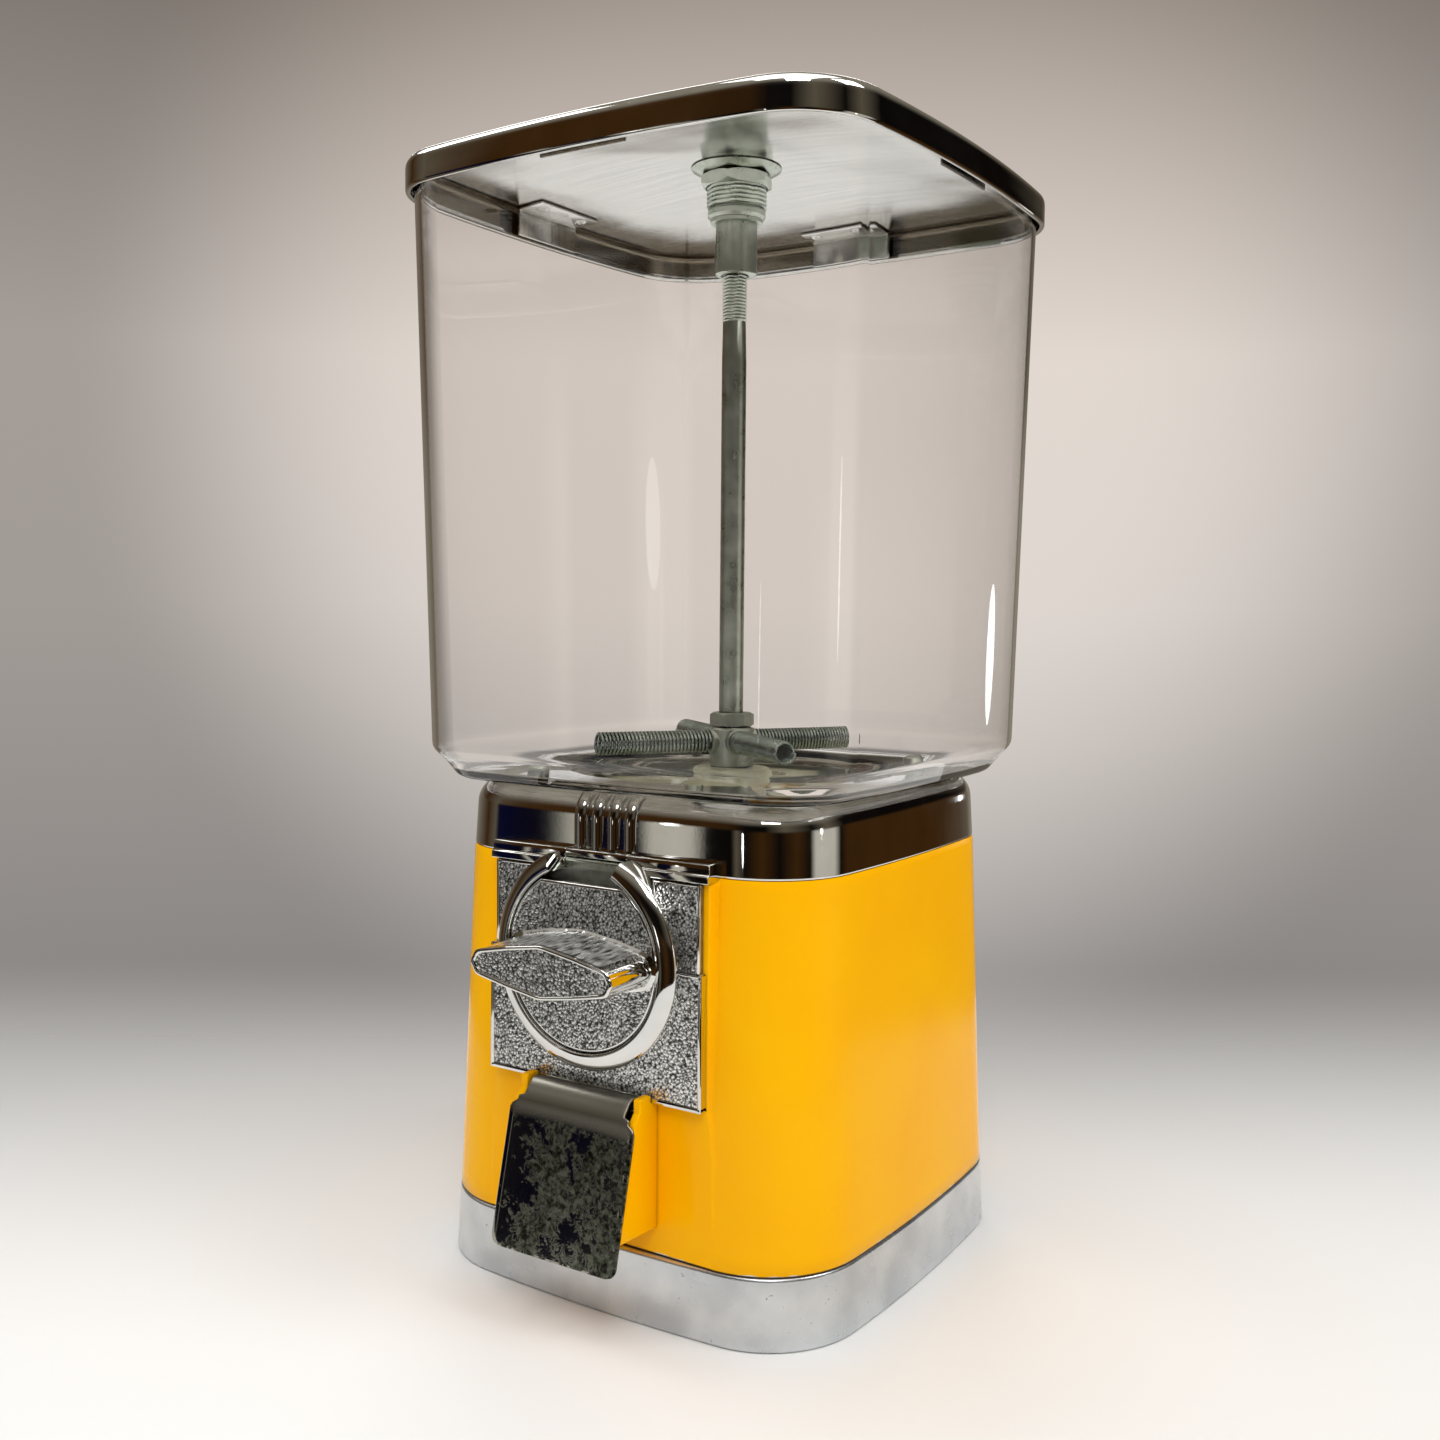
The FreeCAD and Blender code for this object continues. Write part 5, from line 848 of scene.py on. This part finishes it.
# stippled front plate with the open dial ring
dialHeight = 126.497
plateShape = {"back": 84.9, "upperFace": 86.7, "lowerFace": 88.0, "rim": 1.3, "rimHeight": 0.5, "upperHalf": 44.6,
              "lowerHalf": 46.2, "low": 80.0, "step": 126.0, "stepInner": 35.0, "high": 156.2, "slotHalf": 14.0,
              "cell": 0.33, "grain": 1.15, "relief": 0.085, "tilt": 2.6, "cutRadius": 35.6,
              "bore": 32.4, "ringFace": 95.5, "ringOuter": 38.8, "ringBevel": 8.6, "bevelTurn": 38.0,
              "bevelDrop": 1.1, "bevelLean": 0.04, "openAngle": 24.5, "ringSteps": 132,
              "floorInner": 24.4, "spigotBack": 81.9, "spigotHalf": 36.2, "spigotLow": 91.8, "spigotHigh": 151.2}
p = SimpleNamespace(**plateShape)
upperInner, lowerInner = p.upperHalf - p.rim, p.lowerHalf - p.rim


def stipple(x, z, seed=0.0):  # small cells with tilted tops and grooves between
    place = Vector((x / p.grain, z / p.grain, seed))
    reaches, centres = noise.voronoi(place)
    tilt = noise.cell_vector(centres[0] * 17) - Vector((0.5, 0.5, 0.5))
    away = place - centres[0]
    top = min((reaches[1] - reaches[0]) / 0.3, 1.0) * 1.4 - 1.0
    return p.relief * (top + p.tilt * (tilt.x * away.x + tilt.y * away.y))


def markGrain(mesh, levels):  # height of each point over the flat that it stands on, 0.5 on the flat
    depth = mesh.attributes.new("grainDepth", "FLOAT", "POINT")
    for index, vert in enumerate(mesh.vertices):
        face = -vert.co.y / mm
        flat = min(levels, key=lambda value: abs(value - face))
        lift = (face - flat) / p.relief
        if abs(lift) > 3:  # the dragged sides of the grip
            lift = 1.4 * noise.noise(Vector((vert.co.x / mm / p.grain, face / 4, 20.0)))
        depth.data[index].value = min(max(0.5 + lift * 0.5, 0), 1)


def stippledField(half, low, high, face):
    columns, rows = round(2 * half / p.cell), round((high - low) / p.cell)
    points, faces = [], []
    for i in range(rows + 1):
        for j in range(columns + 1):
            x, z = -half + 2 * half * j / columns, low + (high - low) * i / rows
            border = i in (0, rows) or j in (0, columns)
            points.append((x, -(face + (0 if border else stipple(x, z))), z))
    width = columns + 1
    for i in range(rows):
        for j in range(columns):
            x = -half + 2 * half * (j + 0.5) / columns
            z = low + (high - low) * (i + 0.5) / rows - dialHeight
            if x * x + z * z > p.cutRadius ** 2 and not (abs(x) < p.slotHalf and z > 0):
                faces.append((i * width + j, i * width + j + 1, (i + 1) * width + j + 1, (i + 1) * width + j))
    used = sorted({k for corners in faces for k in corners})
    order = {k: n for n, k in enumerate(used)}
    return [points[k] for k in used], [tuple(order[k] for k in corners) for corners in faces], [0] * len(faces)


def dialRing():
    profile = [(p.bore, p.upperFace - 0.3), (p.bore, p.ringFace - 0.6), (p.bore + 0.2, p.ringFace - 0.2),
               (p.bore + 0.7, p.ringFace)]
    for k in range(1, 9):  # broad convex bevel, then a short wall down to the plate
        angle = radians(p.bevelTurn) * k / 8
        profile.append((p.bore + 0.7 + p.ringBevel * sin(angle),
                        p.ringFace - p.ringBevel * p.bevelDrop * (1 - cos(angle)) - p.bevelLean * k))
    wallTop = profile[-1][1]
    profile += [(p.ringOuter - 0.1, wallTop - 0.35), (p.ringOuter, wallTop - 0.9), (p.ringOuter, p.upperFace - 0.3)]
    steps, opening = p.ringSteps, radians(p.openAngle)
    rings = []
    for step in range(steps + 1):
        angle = opening + (2 * pi - 2 * opening) * step / steps
        rings.append([(r * sin(angle), -f, dialHeight + r * cos(angle)) for r, f in profile])
    return cappedShell(rings)


def holedPlate(half, low, high, back, face):
    angles = [2 * pi * k / 96 for k in range(96)]
    angles += [atan2(z - dialHeight, x) % (2 * pi) for x in (-half, half) for z in (low, high)]
    rings = []
    for outer, f in ((True, back), (True, face), (False, face), (False, back)):
        ring = []
        for angle in sorted(set(angles)):
            c, s = cos(angle), sin(angle)
            reachX = half / abs(c) if abs(c) > 1e-6 else 1e6
            reachZ = ((high if s > 0 else low) - dialHeight) / s if abs(s) > 1e-6 else 1e6
            size = min(reachX, reachZ) if outer else p.floorInner
            ring.append((size * c, -f, dialHeight + size * s))
        rings.append(ring)
    return joinRings(rings, loop=True)


def plateRims():
    top, edge = p.upperFace + p.rimHeight, p.lowerFace + p.rimHeight
    bars = [(side * upperInner, side * p.upperHalf, p.step - 1, p.high, top) for side in (-1, 1)]
    bars += [(side * lowerInner, side * p.lowerHalf, p.low, p.step, edge) for side in (-1, 1)]
    bars.append((-p.lowerHalf, p.lowerHalf, p.low, p.low + p.rim, edge))
    for side in (-1, 1):  # the step between the two fields, on each side of the ring, and the top edge
        bars += [(side * p.stepInner, side * lowerInner, p.step - 0.9, p.step, p.lowerFace + 0.1),
                 (side * p.slotHalf, side * p.upperHalf, p.high - 0.8, p.high, p.upperFace + 0.1)]
    return gather(*[prismForward([(left, low), (right, low), (right, high), (left, high)], p.back, face)
                    for left, right, low, high, face in bars])


fields = gather(stippledField(upperInner + 0.2, p.step, p.high - 0.6, p.upperFace),
                stippledField(lowerInner + 0.2, p.low + p.rim - 0.2, p.step, p.lowerFace))
fieldMesh = finishMesh("plateStipple", fields, sharp=80)
thick = bmesh.new()
thick.from_mesh(fieldMesh)
bmesh.ops.recalc_face_normals(thick, faces=thick.faces)
made = bmesh.ops.extrude_face_region(thick, geom=thick.faces[:], use_keep_orig=True)
for vert in made["geom"]:
    if isinstance(vert, bmesh.types.BMVert):
        vert.co.y = -(p.upperFace - 0.6) * mm  # flat back, inside the plate
bmesh.ops.recalc_face_normals(thick, faces=thick.faces)
thick.to_mesh(fieldMesh)
thick.free()
smoothMesh(fieldMesh, 80)
markGrain(fieldMesh, (p.upperFace, p.lowerFace))
addPiece("plateStipple", fieldMesh, "cabinet", [stippled], "coin_plate")
plateBack = gather(holedPlate(p.upperHalf, p.low + 0.1, p.high, p.back, p.upperFace - 0.25),
                   holedPlate(p.spigotHalf, p.spigotLow, p.spigotHigh, p.spigotBack, p.back))
for name, shell, finish, edges in (("plateRims", plateRims(), chrome, {"sharp": 40, "soften": 0.3}),
                                   ("dialRing", dialRing(), chrome, {"sharp": 50}),
                                   ("plateBack", plateBack, bareZinc, {"sharp": 40})):
    addShell(name, shell, "cabinet", "dial_castings", [finish], "coin_plate", **edges)
print("front plate built")


# handle: stippled disc with a flat at the top and a boat-shaped grip
handleShape = {"radius": 32.0, "chord": 26.5, "back": 90.0, "face": 94.7, "edge": 0.7, "border": 1.0, "cells": 184,
               "gripFace": 116.6, "gripLength": 29.3, "gripRim": 1.3, "gripSink": 0.8, "gripCells": 160, "gripRows": 46,
               "gripWidths": ((0.0, 9.2), (0.06, 9.05), (0.5, 7.05), (0.9, 4.75), (0.96, 4.1), (0.99, 3.0), (1.0, 2.2)),
               "footWidths": ((0.0, 9.9), (0.1, 9.7), (0.5, 8.2), (0.85, 5.9), (0.95, 4.7), (0.99, 3.4), (1.0, 2.6)),
               "footFace": 95.3, "dragSize": 4.0, "drag": 0.12, "dragEnd": 0.86, "stippleEnd": 0.84,
               "wallRows": 14, "endBulge": 0.9}
h = SimpleNamespace(**handleShape)


def discReach(angle, sink=0.0):
    s = sin(angle)
    return min(h.radius - sink, (h.chord - sink) / s) if s > 0 else h.radius - sink


def buildDisc():
    n = h.cells
    points, faces = [], []
    for i in range(n + 1):
        for j in range(n + 1):
            u, v = 2 * j / n - 1, 2 * i / n - 1  # square to round, keeping the cells even
            if abs(u) < 1e-9 and abs(v) < 1e-9:
                size, angle = 0.0, 0.0
            elif abs(u) > abs(v):
                size, angle = u, pi / 4 * v / u
            else:
                size, angle = v, pi / 2 - pi / 4 * u / v
            if size < 0:
                size, angle = -size, angle + pi
            reach = discReach(angle, h.border) * size
            x, z = reach * cos(angle), reach * sin(angle)
            lift = 0 if i in (0, n) or j in (0, n) else stipple(x, z, 4.0)
            points.append((x, -(h.face - 0.2 + lift), dialHeight + z))
    for i in range(n):
        for j in range(n):
            k = i * (n + 1) + j
            faces.append((k, k + 1, k + n + 2, k + n + 1))
    loop = list(range(n)) + [i * (n + 1) + n for i in range(n)]
    loop += [n * (n + 1) + j for j in range(n, 0, -1)] + [i * (n + 1) for i in range(n, 0, -1)]
    rings = [[points[k] for k in loop]]
    edgeAngles = [atan2(z - dialHeight, x) for x, y, z in rings[0]]
    for sink, f in ((h.border - 0.15, h.face), (h.edge, h.face), (0.2, h.face - 0.2), (0.0, h.face - h.edge),
                    (0.0, h.back + 0.4), (0.4, h.back)):
        reaches = [(discReach(angle, sink), angle) for angle in edgeAngles]
        rings.append([(reach * cos(angle), -f, dialHeight + reach * sin(angle)) for reach, angle in reaches])
    return gather((points, faces, [0] * len(faces)), joinRings(rings, kind=1), capRing(rings[-1], 1))


def gripWidth(share, sink, foot=0.0):
    sizes = []
    for marks in (h.gripWidths, h.footWidths):
        for (a0, w0), (a1, w1) in zip(marks, marks[1:]):
            if share <= a1 or a1 == 1.0:
                sizes.append(w0 + (w1 - w0) * (share - a0) / (a1 - a0))
                break
    return max(sizes[0] + (sizes[1] - sizes[0]) * foot - sink, 0.4)


gripShares = [copysign(1 - (1 - abs(t)) ** 1.15, t)
              for t in (2 * k / h.gripCells - 1 for k in range(h.gripCells + 1))]
gripAcross = [1 - 2 * k / h.gripRows for k in range(h.gripRows + 1)]


def endBulge(v, width):
    return h.endBulge * (1 - v * v) * min(1.0, width / 2)


def gripLoop(sink, f, stretch=0.0, foot=0.0, drag=0.0):  # foot: 0 at the face, 1 where the grip meets the disc
    length = h.gripLength - sink + stretch
    upper, lower = [], []
    for s in gripShares:
        rough = drag * max(0.0, 1 - (abs(s) / h.dragEnd) ** 8)  # the cast sides are dragged, the ends polished
        for side, edge in ((1, upper), (-1, lower)):
            lift = noise.noise(Vector((length * s / p.grain, f / h.dragSize, 20.0 * side)))
            edge.append((length * s, side * (gripWidth(abs(s), sink, foot) + rough * lift)))
    width = upper[-1][1]
    rightEnd = [(length + endBulge(v, width), width * v) for v in gripAcross[1:-1]]
    leftEnd = [(-x, -z) for x, z in rightEnd]
    return [(x, -f, dialHeight + z) for x, z in upper + rightEnd + lower[::-1] + leftEnd]


def buildGrip():
    sink, floor = h.gripRim, h.gripFace - h.gripSink
    rows, count = h.gripRows, len(gripShares)
    points, faces = [], []
    for s in gripShares:
        width = gripWidth(abs(s), sink)
        for v in gripAcross:
            x = (h.gripLength - sink) * s
            if abs(s) > 0.999:
                x += copysign(endBulge(v, width), s)
            lift = 0 if abs(v) == 1 or abs(s) > 0.999 else stipple(x, width * v, 7.0)
            points.append((x, -(floor + lift), dialHeight + width * v))
    for i in range(count - 1):
        for k in range(rows):
            n = i * (rows + 1) + k
            faces.append((n, n + 1, n + rows + 2, n + rows + 1))
    rings = [gripLoop(inset, f) for inset, f in (
        (sink, floor), (sink, h.gripFace - 0.25), (sink - 0.25, h.gripFace), (0.45, h.gripFace),
        (0.12, h.gripFace - 0.2), (0.0, h.gripFace - 0.6))]
    rimRows = len(rings)
    for k in range(h.wallRows + 1):
        t = k / h.wallRows
        f = h.gripFace - 1.0 + (h.footFace - h.gripFace + 1.0) * t
        rings.append(gripLoop(0.0, f, 0.6 * t * t, t, h.drag))
    rings.append(gripLoop(-1.0, h.footFace - 0.7, 0.9, 1.0))
    wall = joinRings(rings, kind=1)
    for index in range(len(wall[2])):
        row, k = divmod(index, len(rings[0]))
        onUpper, onLower = k < count - 1, count + rows - 1 <= k < 2 * count + rows - 2
        s = gripShares[k] if onUpper else gripShares[2 * count + rows - 2 - k] if onLower else 1.0
        if row >= rimRows and abs(s) < h.stippleEnd:  # dragged sides keep the stipple's finish
            wall[2][index] = 0
    return gather((points, faces, [0] * len(faces)), wall, capRing(rings[-1], 1))


handleMesh = finishMesh("dialHandle", gather(buildDisc(), buildGrip()), sharp=50)
markGrain(handleMesh, (h.face - 0.2, h.gripFace - h.gripSink))
addPiece("dialHandle", handleMesh, "handle", [stippled, chrome], "handle")
print("handle built")


# chute door: one strip of sheet, rolled round its pin, folded at the shoulder and rounded at the corners
flapShape = {"hingeFace": 91.6, "hingeHeight": 79.0, "roll": 2.2, "sheet": 1.0, "neckHalf": 21.8, "half": 27.2,
             "shoulderFace": 98.7, "shoulderHeight": 74.5, "length": 50.3, "tilt": 13.0, "corner": 4.0,
             "columns": 24, "rows": 40, "pinRadius": 1.45, "pinHalf": 25.4}
d = SimpleNamespace(**flapShape)


def flapPath():
    path = []
    for k in range(18):  # the roll, from under the pin round its back to the top
        angle = radians(-60 - 210 * k / 17)
        path.append((d.hingeFace + d.roll * cos(angle), d.hingeHeight + d.roll * sin(angle), "neck"))
    start = Vector((d.hingeFace, d.hingeHeight + d.roll))
    knee = Vector((d.hingeFace + 4.6, d.hingeHeight - 0.7))
    bend = Vector((d.shoulderFace, d.shoulderHeight))
    over, down, lead = start + Vector((2.6, 0.2)), knee + Vector((-1.0, 1.2)), knee + Vector((1.6, -1.9))
    for k in range(1, 9):  # over the top and down to the knee
        t = k / 8
        middle = start * (1 - t) ** 3 + over * 3 * t * (1 - t) ** 2 + down * 3 * t * t * (1 - t) + knee * t ** 3
        path.append((*middle, "neck"))
    for k in range(1, 7):
        t = k / 6
        middle = knee * (1 - t) ** 2 + lead * 2 * t * (1 - t) + bend * t * t
        path.append((*middle, "neck" if k < 4 else "shoulder"))
    tilt = radians(d.tilt)
    for k in range(1, d.rows + 1):
        along = d.length * (1 - (1 - k / d.rows) ** 1.15)
        path.append((bend.x + along * sin(tilt), bend.y - along * cos(tilt), along))
    return path


def flapHalf(mark):
    if mark == "neck":
        return d.neckHalf
    if mark == "shoulder":
        mark = 0.0
    ease = min((mark + 0.4) / d.corner, 1.0)
    half = d.neckHalf + (d.half - d.neckHalf) * sqrt(max(0.0, 1 - (1 - ease) ** 2))
    left = d.length - mark
    if left < d.corner:
        half -= d.corner - sqrt(max(0.0, d.corner ** 2 - (d.corner - left) ** 2))
    return half


def buildFlap():
    path = flapPath()
    rings = []
    for k, (face, z, mark) in enumerate(path):
        along = Vector(path[min(k + 1, len(path) - 1)][:2]) - Vector(path[max(k - 1, 0)][:2])
        out = Vector((-along.y, along.x)).normalized() * d.sheet / 2
        front, back = [[((2 * c / d.columns - 1) * flapHalf(mark), -(face + side * out.x), z + side * out.y)
                        for c in range(d.columns + 1)] for side in (1, -1)]
        rings.append(front + back[::-1])
    return cappedShell(rings)


def hingePin():
    rows = [(-d.pinHalf, 0.6), (0.3 - d.pinHalf, 1.0), (d.pinHalf - 0.3, 1.0), (d.pinHalf, 0.6)]
    return cappedShell([[(x, -(d.hingeFace + size * d.pinRadius * c), d.hingeHeight + size * d.pinRadius * s)
                         for c, s in circle(24)] for x, size in rows])


addShell("chuteDoor", buildFlap(), "flap", "chrome_castings", [wornSheet], "flap", sharp=50, soften=0.28)
addShell("hingePin", hingePin(), "cabinet", "zinc_hardware", [zincPlate], "flap_pin", sharp=40)
print("chute door built")


# screws through the canister's floor: domed heads with a round recess
screwShape = {"headRadius": 4.2, "head": 2.8, "seat": 186.0, "shank": 2.0, "shankLow": 176.0, "recess": 1.4}
s = SimpleNamespace(**screwShape)
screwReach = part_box("canister_screws")[1].x / mm - s.headRadius
screw = [(0, s.shankLow), (s.shank, s.shankLow), (s.shank, s.seat), (s.headRadius, s.seat),
         (s.headRadius, s.seat + 1.0), (s.headRadius - 0.5, s.seat + 1.9), (s.headRadius - 1.4, s.seat + 2.5),
         (2.0, s.seat + s.head), (1.6, s.seat + s.head), (0.5, s.seat + s.recess), (0, s.seat + s.recess)]
screws = gather(*[turnedShell(screw, 32, (x, y)) for x in (-screwReach, screwReach) for y in (-screwReach, screwReach)])
addShell("canisterScrews", screws, "cabinet", "zinc_hardware", [zincPlate], "canister_screws", sharp=40)

# what stays as it was cut gets its own finish
keptFinish = (
    (zincPlate, ("lock_plug", "lock_ring", "base_nuts", "base_washers", "chute_screws", "mech_screws", "pawl_pin",
                 "shaft_nut", "drive_shaft", "thrust_washer")),
    (springWire, ("pawl_spring",)),
    (bareZinc, ("mech_housing", "coin_carrier", "ratchet_wheel", "ratchet_pawl", "drive_gear")),
    (acetal, ("dispensing_wheel", "wheel_housing")),
    (galvanised, ("outlet_guard", "inner_chute")),
)
for finish, nodes in keptFinish:
    for node in nodes:
        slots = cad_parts[node].data.materials
        slots.clear()
        slots.append(finish)
print("kept pieces finished")


# floor, soft light and the room that the chrome mirrors
stageSet = {"middle": 0.0005, "near": 0.42, "far": 9.0, "paper": "E9E8E6", "glow": "FAFAF9", "fillTone": "EDECEA",
            "fill": 0.48, "back": (-0.539, 0.842, 0.0), "sweep": (-0.12, 0.45), "edge": (0.35, 1.2),
            "pool": (-0.5, 0.856, 0.12), "poolSpan": (0.89, 0.985), "poolLight": (0.58, 1.18),
            "storey": (0.05, 0.16), "ceiling": (0.35, 0.75), "down": (-0.2, -0.11)}
g = SimpleNamespace(**stageSet)
paper, tree, shader, at = startFinish("seamlessPaper", {"Base Color": g.paper, "Roughness": 0.6})
away = addNode(tree, "VectorMath", {"operation": "DOT_PRODUCT", 0: at, 1: g.back})
spread = addNode(tree, "VectorMath", {"operation": "LENGTH", 0: at})
sweep, edge = [addNode(tree, "MapRange", {"From Min": low, "From Max": high, "interpolation_type": "SMOOTHSTEP",
                                          "Value": value})
               for value, (low, high) in ((away, g.sweep), (spread, g.edge))]
most = addNode(tree, "Math", {"operation": "MAXIMUM", 0: sweep, 1: edge})
path = addNode(tree, "LightPath").outputs
seen = addNode(tree, "Math", {"operation": "MAXIMUM", 0: path["Is Camera Ray"], 1: path["Is Transmission Ray"]})
share = addNode(tree, "Math", {"operation": "MULTIPLY", 0: most, 1: seen})
through = addNode(tree, "BsdfTransparent")  # the far floor melts into the backdrop
blendOut = addNode(tree, "MixShader", {0: share, 1: shader, 2: through})
setNode(tree, tree.nodes["Material Output"], {"Surface": blendOut})
for name, inner, outer in (("floorNear", g.middle, g.near), ("floorFar", g.near, g.far)):
    rings = [[(radius * c / mm, radius * s / mm, 0) for c, s in circle(96)]
             for radius in (inner, (inner + outer) / 2, outer)]
    floor = bpy.data.objects.new(name, finishMesh(name, joinRings(rings)))
    floor.data.materials.append(paper)
    scene.collection.objects.link(floor)
    floor.visible_glossy = name == "floorNear"

lamps = (  # name, place, aim's height, width, height, watts
    ("softTop", (0.1, -0.3, 1.5), 0.2, 1.1, 1.1, 7.6),
    ("softFront", (0.95, -1.45, 1.95), 0.2, 0.9, 0.9, 18.5),
    ("windowLeft", (-1.6, -0.2, 1.9), 0.22, 0.9, 0.9, 8.5),
    ("windowRight", (1.5, 0.3, 1.9), 0.22, 0.9, 0.9, 14.0),
    ("softBack", (-0.9, 1.15, 1.15), 0.3, 0.8, 0.6, 5.2),
    ("stripLeft", (-0.66, -1.24, 0.3), 0.22, 0.04, 0.16, 0.04),
    ("stripFront", (0.0, -1.4, 0.12), 0.22, 0.045, 0.2, 0.12),
    ("stripRight", (1.3, 0.12, 0.25), 0.25, 0.06, 0.24, 0.22),
    ("stripBack", (0.48, 1.32, 0.17), 0.22, 0.04, 0.18, 0.08),
)
for name, place, aim, width, height, watts in lamps:
    lamp = bpy.data.lights.new(name, "AREA")
    lamp.shape = "ELLIPSE" if name.startswith("strip") else "RECTANGLE"
    lamp.size, lamp.size_y, lamp.energy = width, height, watts
    holder = bpy.data.objects.new(name, lamp)
    holder.location = place
    holder.rotation_euler = (Vector((0, 0, aim)) - Vector(place)).to_track_quat("-Z", "Y").to_euler()
    holder.visible_camera = holder.visible_transmission = False  # no lamp shows behind the clear canister
    scene.collection.objects.link(holder)

# the backdrop that is seen, and a plain room of a few tones for the mirrors, by share of a turn from the back
studio = {"flag": "0E0B09", "timber": "3E270F", "cloth": "090B26", "card": "C4BFB2", "wall": "8A8376", "dusk": "5E5648"}
lowBand = ((0.0, "flag"), (0.03, "dusk"), (0.045, "flag"), (0.076, "flag"), (0.078, "card"), (0.09, "card"),
           (0.092, "flag"), (0.1, "cloth"), (0.11, "flag"), (0.112, "card"), (0.116, "card"), (0.118, "flag"),
           (0.14, "cloth"), (0.158, "cloth"), (0.17, "dusk"), (0.22, "timber"), (0.36, "wall"), (0.5, "wall"),
           (0.56, "timber"), (0.605, "timber"), (0.64, "flag"), (0.67, "card"), (0.75, "card"), (0.77, "flag"),
           (0.82, "timber"), (0.88, "flag"), (0.94, "timber"), (1.0, "flag"))
highBand = ((0.0, "flag"), (0.09, "timber"), (0.13, "timber"), (0.17, "dusk"), (0.25, "timber"), (0.4, "wall"),
            (0.5, "dusk"), (0.55, "flag"), (0.62, "flag"), (0.7, "dusk"), (0.76, "flag"), (0.86, "dusk"),
            (0.93, "flag"), (1.0, "flag"))
world = bpy.data.worlds.new("studioRoom")
scene.world = world
world.use_nodes = True
tree = world.node_tree
tree.nodes.clear()
ray = addNode(tree, "TexCoord").outputs["Generated"]
axes = addNode(tree, "SeparateXYZ", {"Vector": ray}).outputs
path = addNode(tree, "LightPath").outputs
rise = addNode(tree, "MapRange", {"From Min": -1.0, "From Max": 1.0, "Value": axes["Z"]})
# the backdrop's tones paint the sweep's light and shade: darker below the horizon and high up, palest just above it,
# and a painted pool of light behind the machine that falls off to the sides
backdrop = addNode(tree, "ValToRGB", {"stops": ((0.37, "AEAAA7"), (0.5, "CFC7C1"), (0.58, "D2C9C2"), (0.7, "93887F")),
                                      "Fac": rise})
pool = addNode(tree, "VectorMath", {"operation": "DOT_PRODUCT", 0: ray, 1: g.pool})
lit = addNode(tree, "MapRange", {"From Min": g.poolSpan[0], "From Max": g.poolSpan[1], "To Min": g.poolLight[0],
                                 "To Max": g.poolLight[1], "interpolation_type": "SMOOTHSTEP", "Value": pool})
behind = addNode(tree, "Background", {"Color": backdrop, "Strength": lit})
turn = addNode(tree, "Math", {"operation": "ARCTAN2", 0: axes["X"], 1: axes["Y"]})
around = addNode(tree, "MapRange", {"From Min": -pi, "From Max": pi, "Value": turn})
lowRoom, highRoom = [addNode(tree, "ValToRGB", {"stops": [(share, studio[tone]) for share, tone in band],
                                                "Fac": around}) for band in (lowBand, highBand)]
storey, ceiling = [addNode(tree, "MapRange", {"From Min": low, "From Max": high, "interpolation_type": "SMOOTHSTEP",
                                              "Value": axes["Z"]}) for low, high in (g.storey, g.ceiling)]
walls = addNode(tree, "Mix", {"data_type": "RGBA", "Factor": storey, "A": lowRoom, "B": highRoom})
room = addNode(tree, "Mix", {"data_type": "RGBA", "Factor": ceiling, "A": walls, "B": studio["wall"]})
down = addNode(tree, "MapRange", {"From Min": g.down[0], "From Max": g.down[1], "To Min": 1.0, "To Max": 0.0,
                                  "Value": axes["Z"]})
bright = addNode(tree, "Math", {"operation": "MULTIPLY", 0: down, 1: path["Is Transmission Ray"]})
paperGlow = addNode(tree, "Mix", {"data_type": "RGBA", "Factor": bright, "A": room,
                                  "B": g.glow})  # white floor, as the lid's underside sees it
mirrored = addNode(tree, "Background", {"Color": paperGlow, "Strength": 1.0})
fill = addNode(tree, "Background", {"Color": g.fillTone, "Strength": g.fill})
bounced = addNode(tree, "Math", {"operation": "GREATER_THAN", 0: path["Glossy Depth"], 1: 0.5})
shiny = addNode(tree, "Math", {"operation": "SUBTRACT", "use_clamp": True, 0: bounced, 1: path["Is Diffuse Ray"]})
seen = addNode(tree, "Math", {"operation": "MAXIMUM", 0: path["Is Camera Ray"], 1: path["Is Transmission Ray"]})
straight = addNode(tree, "Math", {"operation": "SUBTRACT", "use_clamp": True, 0: seen, 1: bounced})
indirect = addNode(tree, "MixShader", {0: shiny, 1: fill, 2: mirrored})
sky = addNode(tree, "MixShader", {0: straight, 1: indirect, 2: behind})
addNode(tree, "OutputWorld", {"Surface": sky})
print("stage lit")
